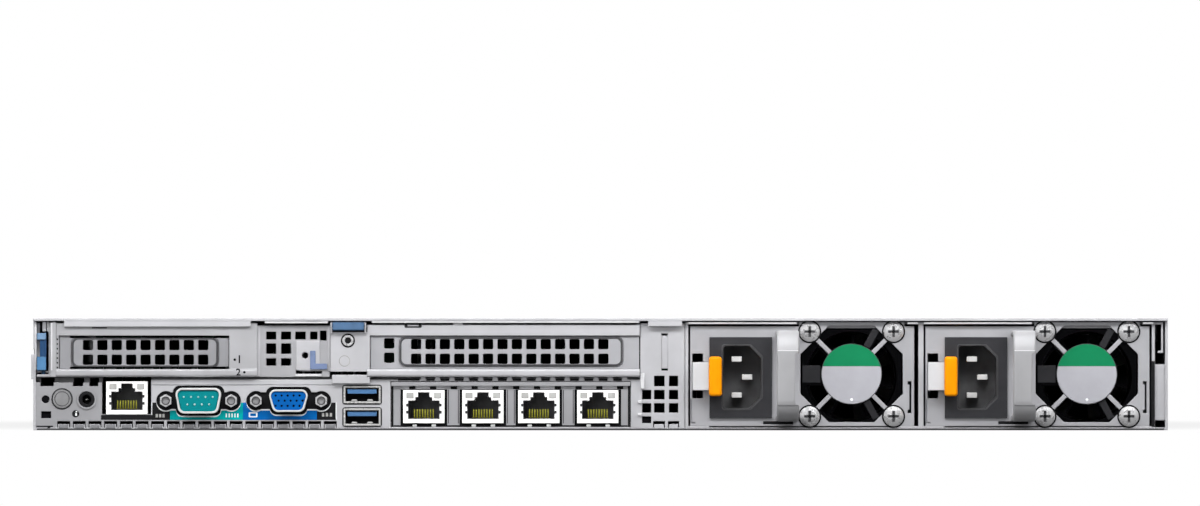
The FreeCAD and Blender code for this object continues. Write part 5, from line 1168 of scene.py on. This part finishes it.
def block_loop(x, y, width, length, radius=0.0):
    return box_loop(around(x, width), around(y, length), radius)


print("board top at z =", BOARD_TOP)

# %% Chips and chipset fins
chip_black = plastic("chip_black", (0.014, 0.014, 0.016), 0.42, shine=0.25)
can_metal = metal("can_metal", (0.66, 0.66, 0.67), 0.3, spangle=400.0)
CHIPS = (
    (-160, -150, 24, 24), (-112, -125, 14, 20), (12, -112, 12, 12), (-190, -205, 16, 10), (-26, -98, 20, 14),
    (-110, -270, 10, 14), (-110, -300, 8, 8), (150, -92, 16, 16), (82, -96, 22, 14), (-205, -60, 9, 9),
    (-75, -120, 9, 12), (0, -160, 12, 8), (0, -200, 8, 12), (-135, -190, 10, 10),
)
CHIPSET = (-62, -182)
FIN_PITCH = 3.2
lay("board_chips", [block_loop(*chip, 0.4) for chip in CHIPS], (0.0, 1.6), chip_black, 0.15)
lay("chipset_base", [block_loop(*CHIPSET, 42, 42, 1.0)], (0.0, 5.0), can_metal, 0.3)
fins = [block_loop(CHIPSET[0] + (i - 6) * FIN_PITCH, CHIPSET[1], 0.9, 40) for i in range(13)]
lay("chipset_fins", fins, (4.8, 17.0), can_metal)
print("chips:", len(CHIPS), "fins:", len(fins))

# %% Capacitors, coils, headers and battery
coil_grey = plastic("coil_grey", (0.11, 0.11, 0.12), 0.55)
header_white = plastic("header_white", (0.70, 0.69, 0.64), 0.45)
CAN_ROW, COIL_ROW = -48, -62
HEADERS = ((-195, -90, 22, 6), (-150, -92, 30, 6), (-60, -78, 36, 6), (120, -112, 24, 7), (185, -100, 30, 8))
HEADER_WALL = 1
BATTERY = (-186, -128)
columns = [side * (74 + i * 9) for side in (-1, 1) for i in range(9)]
cans = [round_loop(x, CAN_ROW, 3.2, 20) for x in columns]
lay("capacitor_cans", cans, (0.0, 9.0), can_metal, 0.5)
feet = [block_loop(x, CAN_ROW, 7.0, 7.0, 0.8) for x in columns]
lay("capacitor_feet", feet, (0.0, 1.4), chip_black)
coils = [block_loop(x, COIL_ROW, 7.4, 7.4, 1.0) for x in columns]
lay("coils", coils, (0.0, 5.0), coil_grey, 0.4)
walls = []
for x, y, width, length in HEADERS:
    inside = block_loop(x, y, width - 2 * HEADER_WALL, length - 2 * HEADER_WALL)
    walls += [block_loop(x, y, width, length), inside]
lay("headers", walls, (0.0, 7.5), header_white, 0.15)
lay("battery_seat", [round_loop(*BATTERY, 11.5)], (0.0, 2.4), chip_black, 0.3)
lay("battery", [round_loop(*BATTERY, 10.0, 40)], (2.3, 4.4), can_metal, 0.3)
print("capacitors:", len(columns), "headers:", len(HEADERS))

# %% [markdown]
# ## Disks in their carriers
# A carrier that is pulled out shows its disk: a cast tray closed by a thin bright lid, which small screws hold.
# Two small lamps sit in the carrier's upper ear. The sled and the disk's block are in the loaded model, so we
# only lay the lid on the block's top. All of it rides on the drive and slides out with it.

# %% Disk lids and carrier lamps
disk_cast = metal("disk_cast", (0.17, 0.17, 0.18), 0.5)
disk_lid = metal("disk_lid", (0.58, 0.58, 0.60), 0.34)
lamp_green = plastic("drive_lamp", (0.05, 0.20, 0.08), 0.3)
DRIVES = 4
DISK_TOP = 25.4
DISK_START = 1.0
DISK_SIZE = (101.0, 145.4)
LID_OUTLINE = ((-46.0, 5.0), (46.0, 5.0), (46.0, 112.0), (26.0, 140.0), (-46.0, 140.0))
LID_SCREWS = ((-41.5, 10.0), (41.5, 10.0), (41.5, 108.0), (-41.5, 72.0), (24.0, 135.0), (-41.5, 135.0))
LAMP_PLACES = (2.2, 4.6)
LAMP_HEIGHT = 26.6
for number in range(1, DRIVES + 1):
    drive = f"drive_{number}"
    low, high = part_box(drive + "_carrier")
    x, y = (low.x + high.x) / 2 / MM, low.y / MM + DISK_START
    tray = block_loop(x, y + DISK_SIZE[1] / 2, *DISK_SIZE, 1.5)
    lay(drive + "_disk_tray", [tray], (0.0, 0.3), disk_cast, 0.1, DISK_TOP, drive)
    lid = softened([(x + dx, y + dy) for dx, dy in LID_OUTLINE], 7.0)
    lay(drive + "_disk_lid", [lid], (0.25, 0.9), disk_lid, 0.2, DISK_TOP, drive)
    heads = [round_loop(x + dx, y + dy, 2.1, 20) for dx, dy in LID_SCREWS]
    lay(drive + "_lid_screws", heads, (0.85, 1.2), screw, 0.12, DISK_TOP, drive)
    ear = high.y / MM - REAR_WALL
    lamps = [box_loop(around(low.x / MM + dx, 1.3), around(LAMP_HEIGHT, 0.9), 0.3) for dx in LAMP_PLACES]
    plate(drive + "_lamps", lamps, (ear - 0.2, ear + 0.08), lamp_green, drive, 0.04)
print("disks dressed:", DRIVES)

# %% [markdown]
# ## Power button
# The power button sits in the control panel on one of the rack ears, and a plain white ring marks it. A painted
# ring would need a mask in the nodes. A plate like the others is simpler, only at the far end of the server. It
# rides on the button, so it goes in when the button is pressed.

# %% Sign on the power button
POWER_BUTTON = (222.4, 31.0)
FRONT_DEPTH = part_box("power_button")[1].y / MM - REAR_WALL
sign_depth = (FRONT_DEPTH - 0.1, FRONT_DEPTH + 0.06)
plate("power_sign", ring_loops(POWER_BUTTON, 1.8, 1.4), sign_depth, white_ink, "power_button")
print("power sign at depth", round(FRONT_DEPTH, 2))
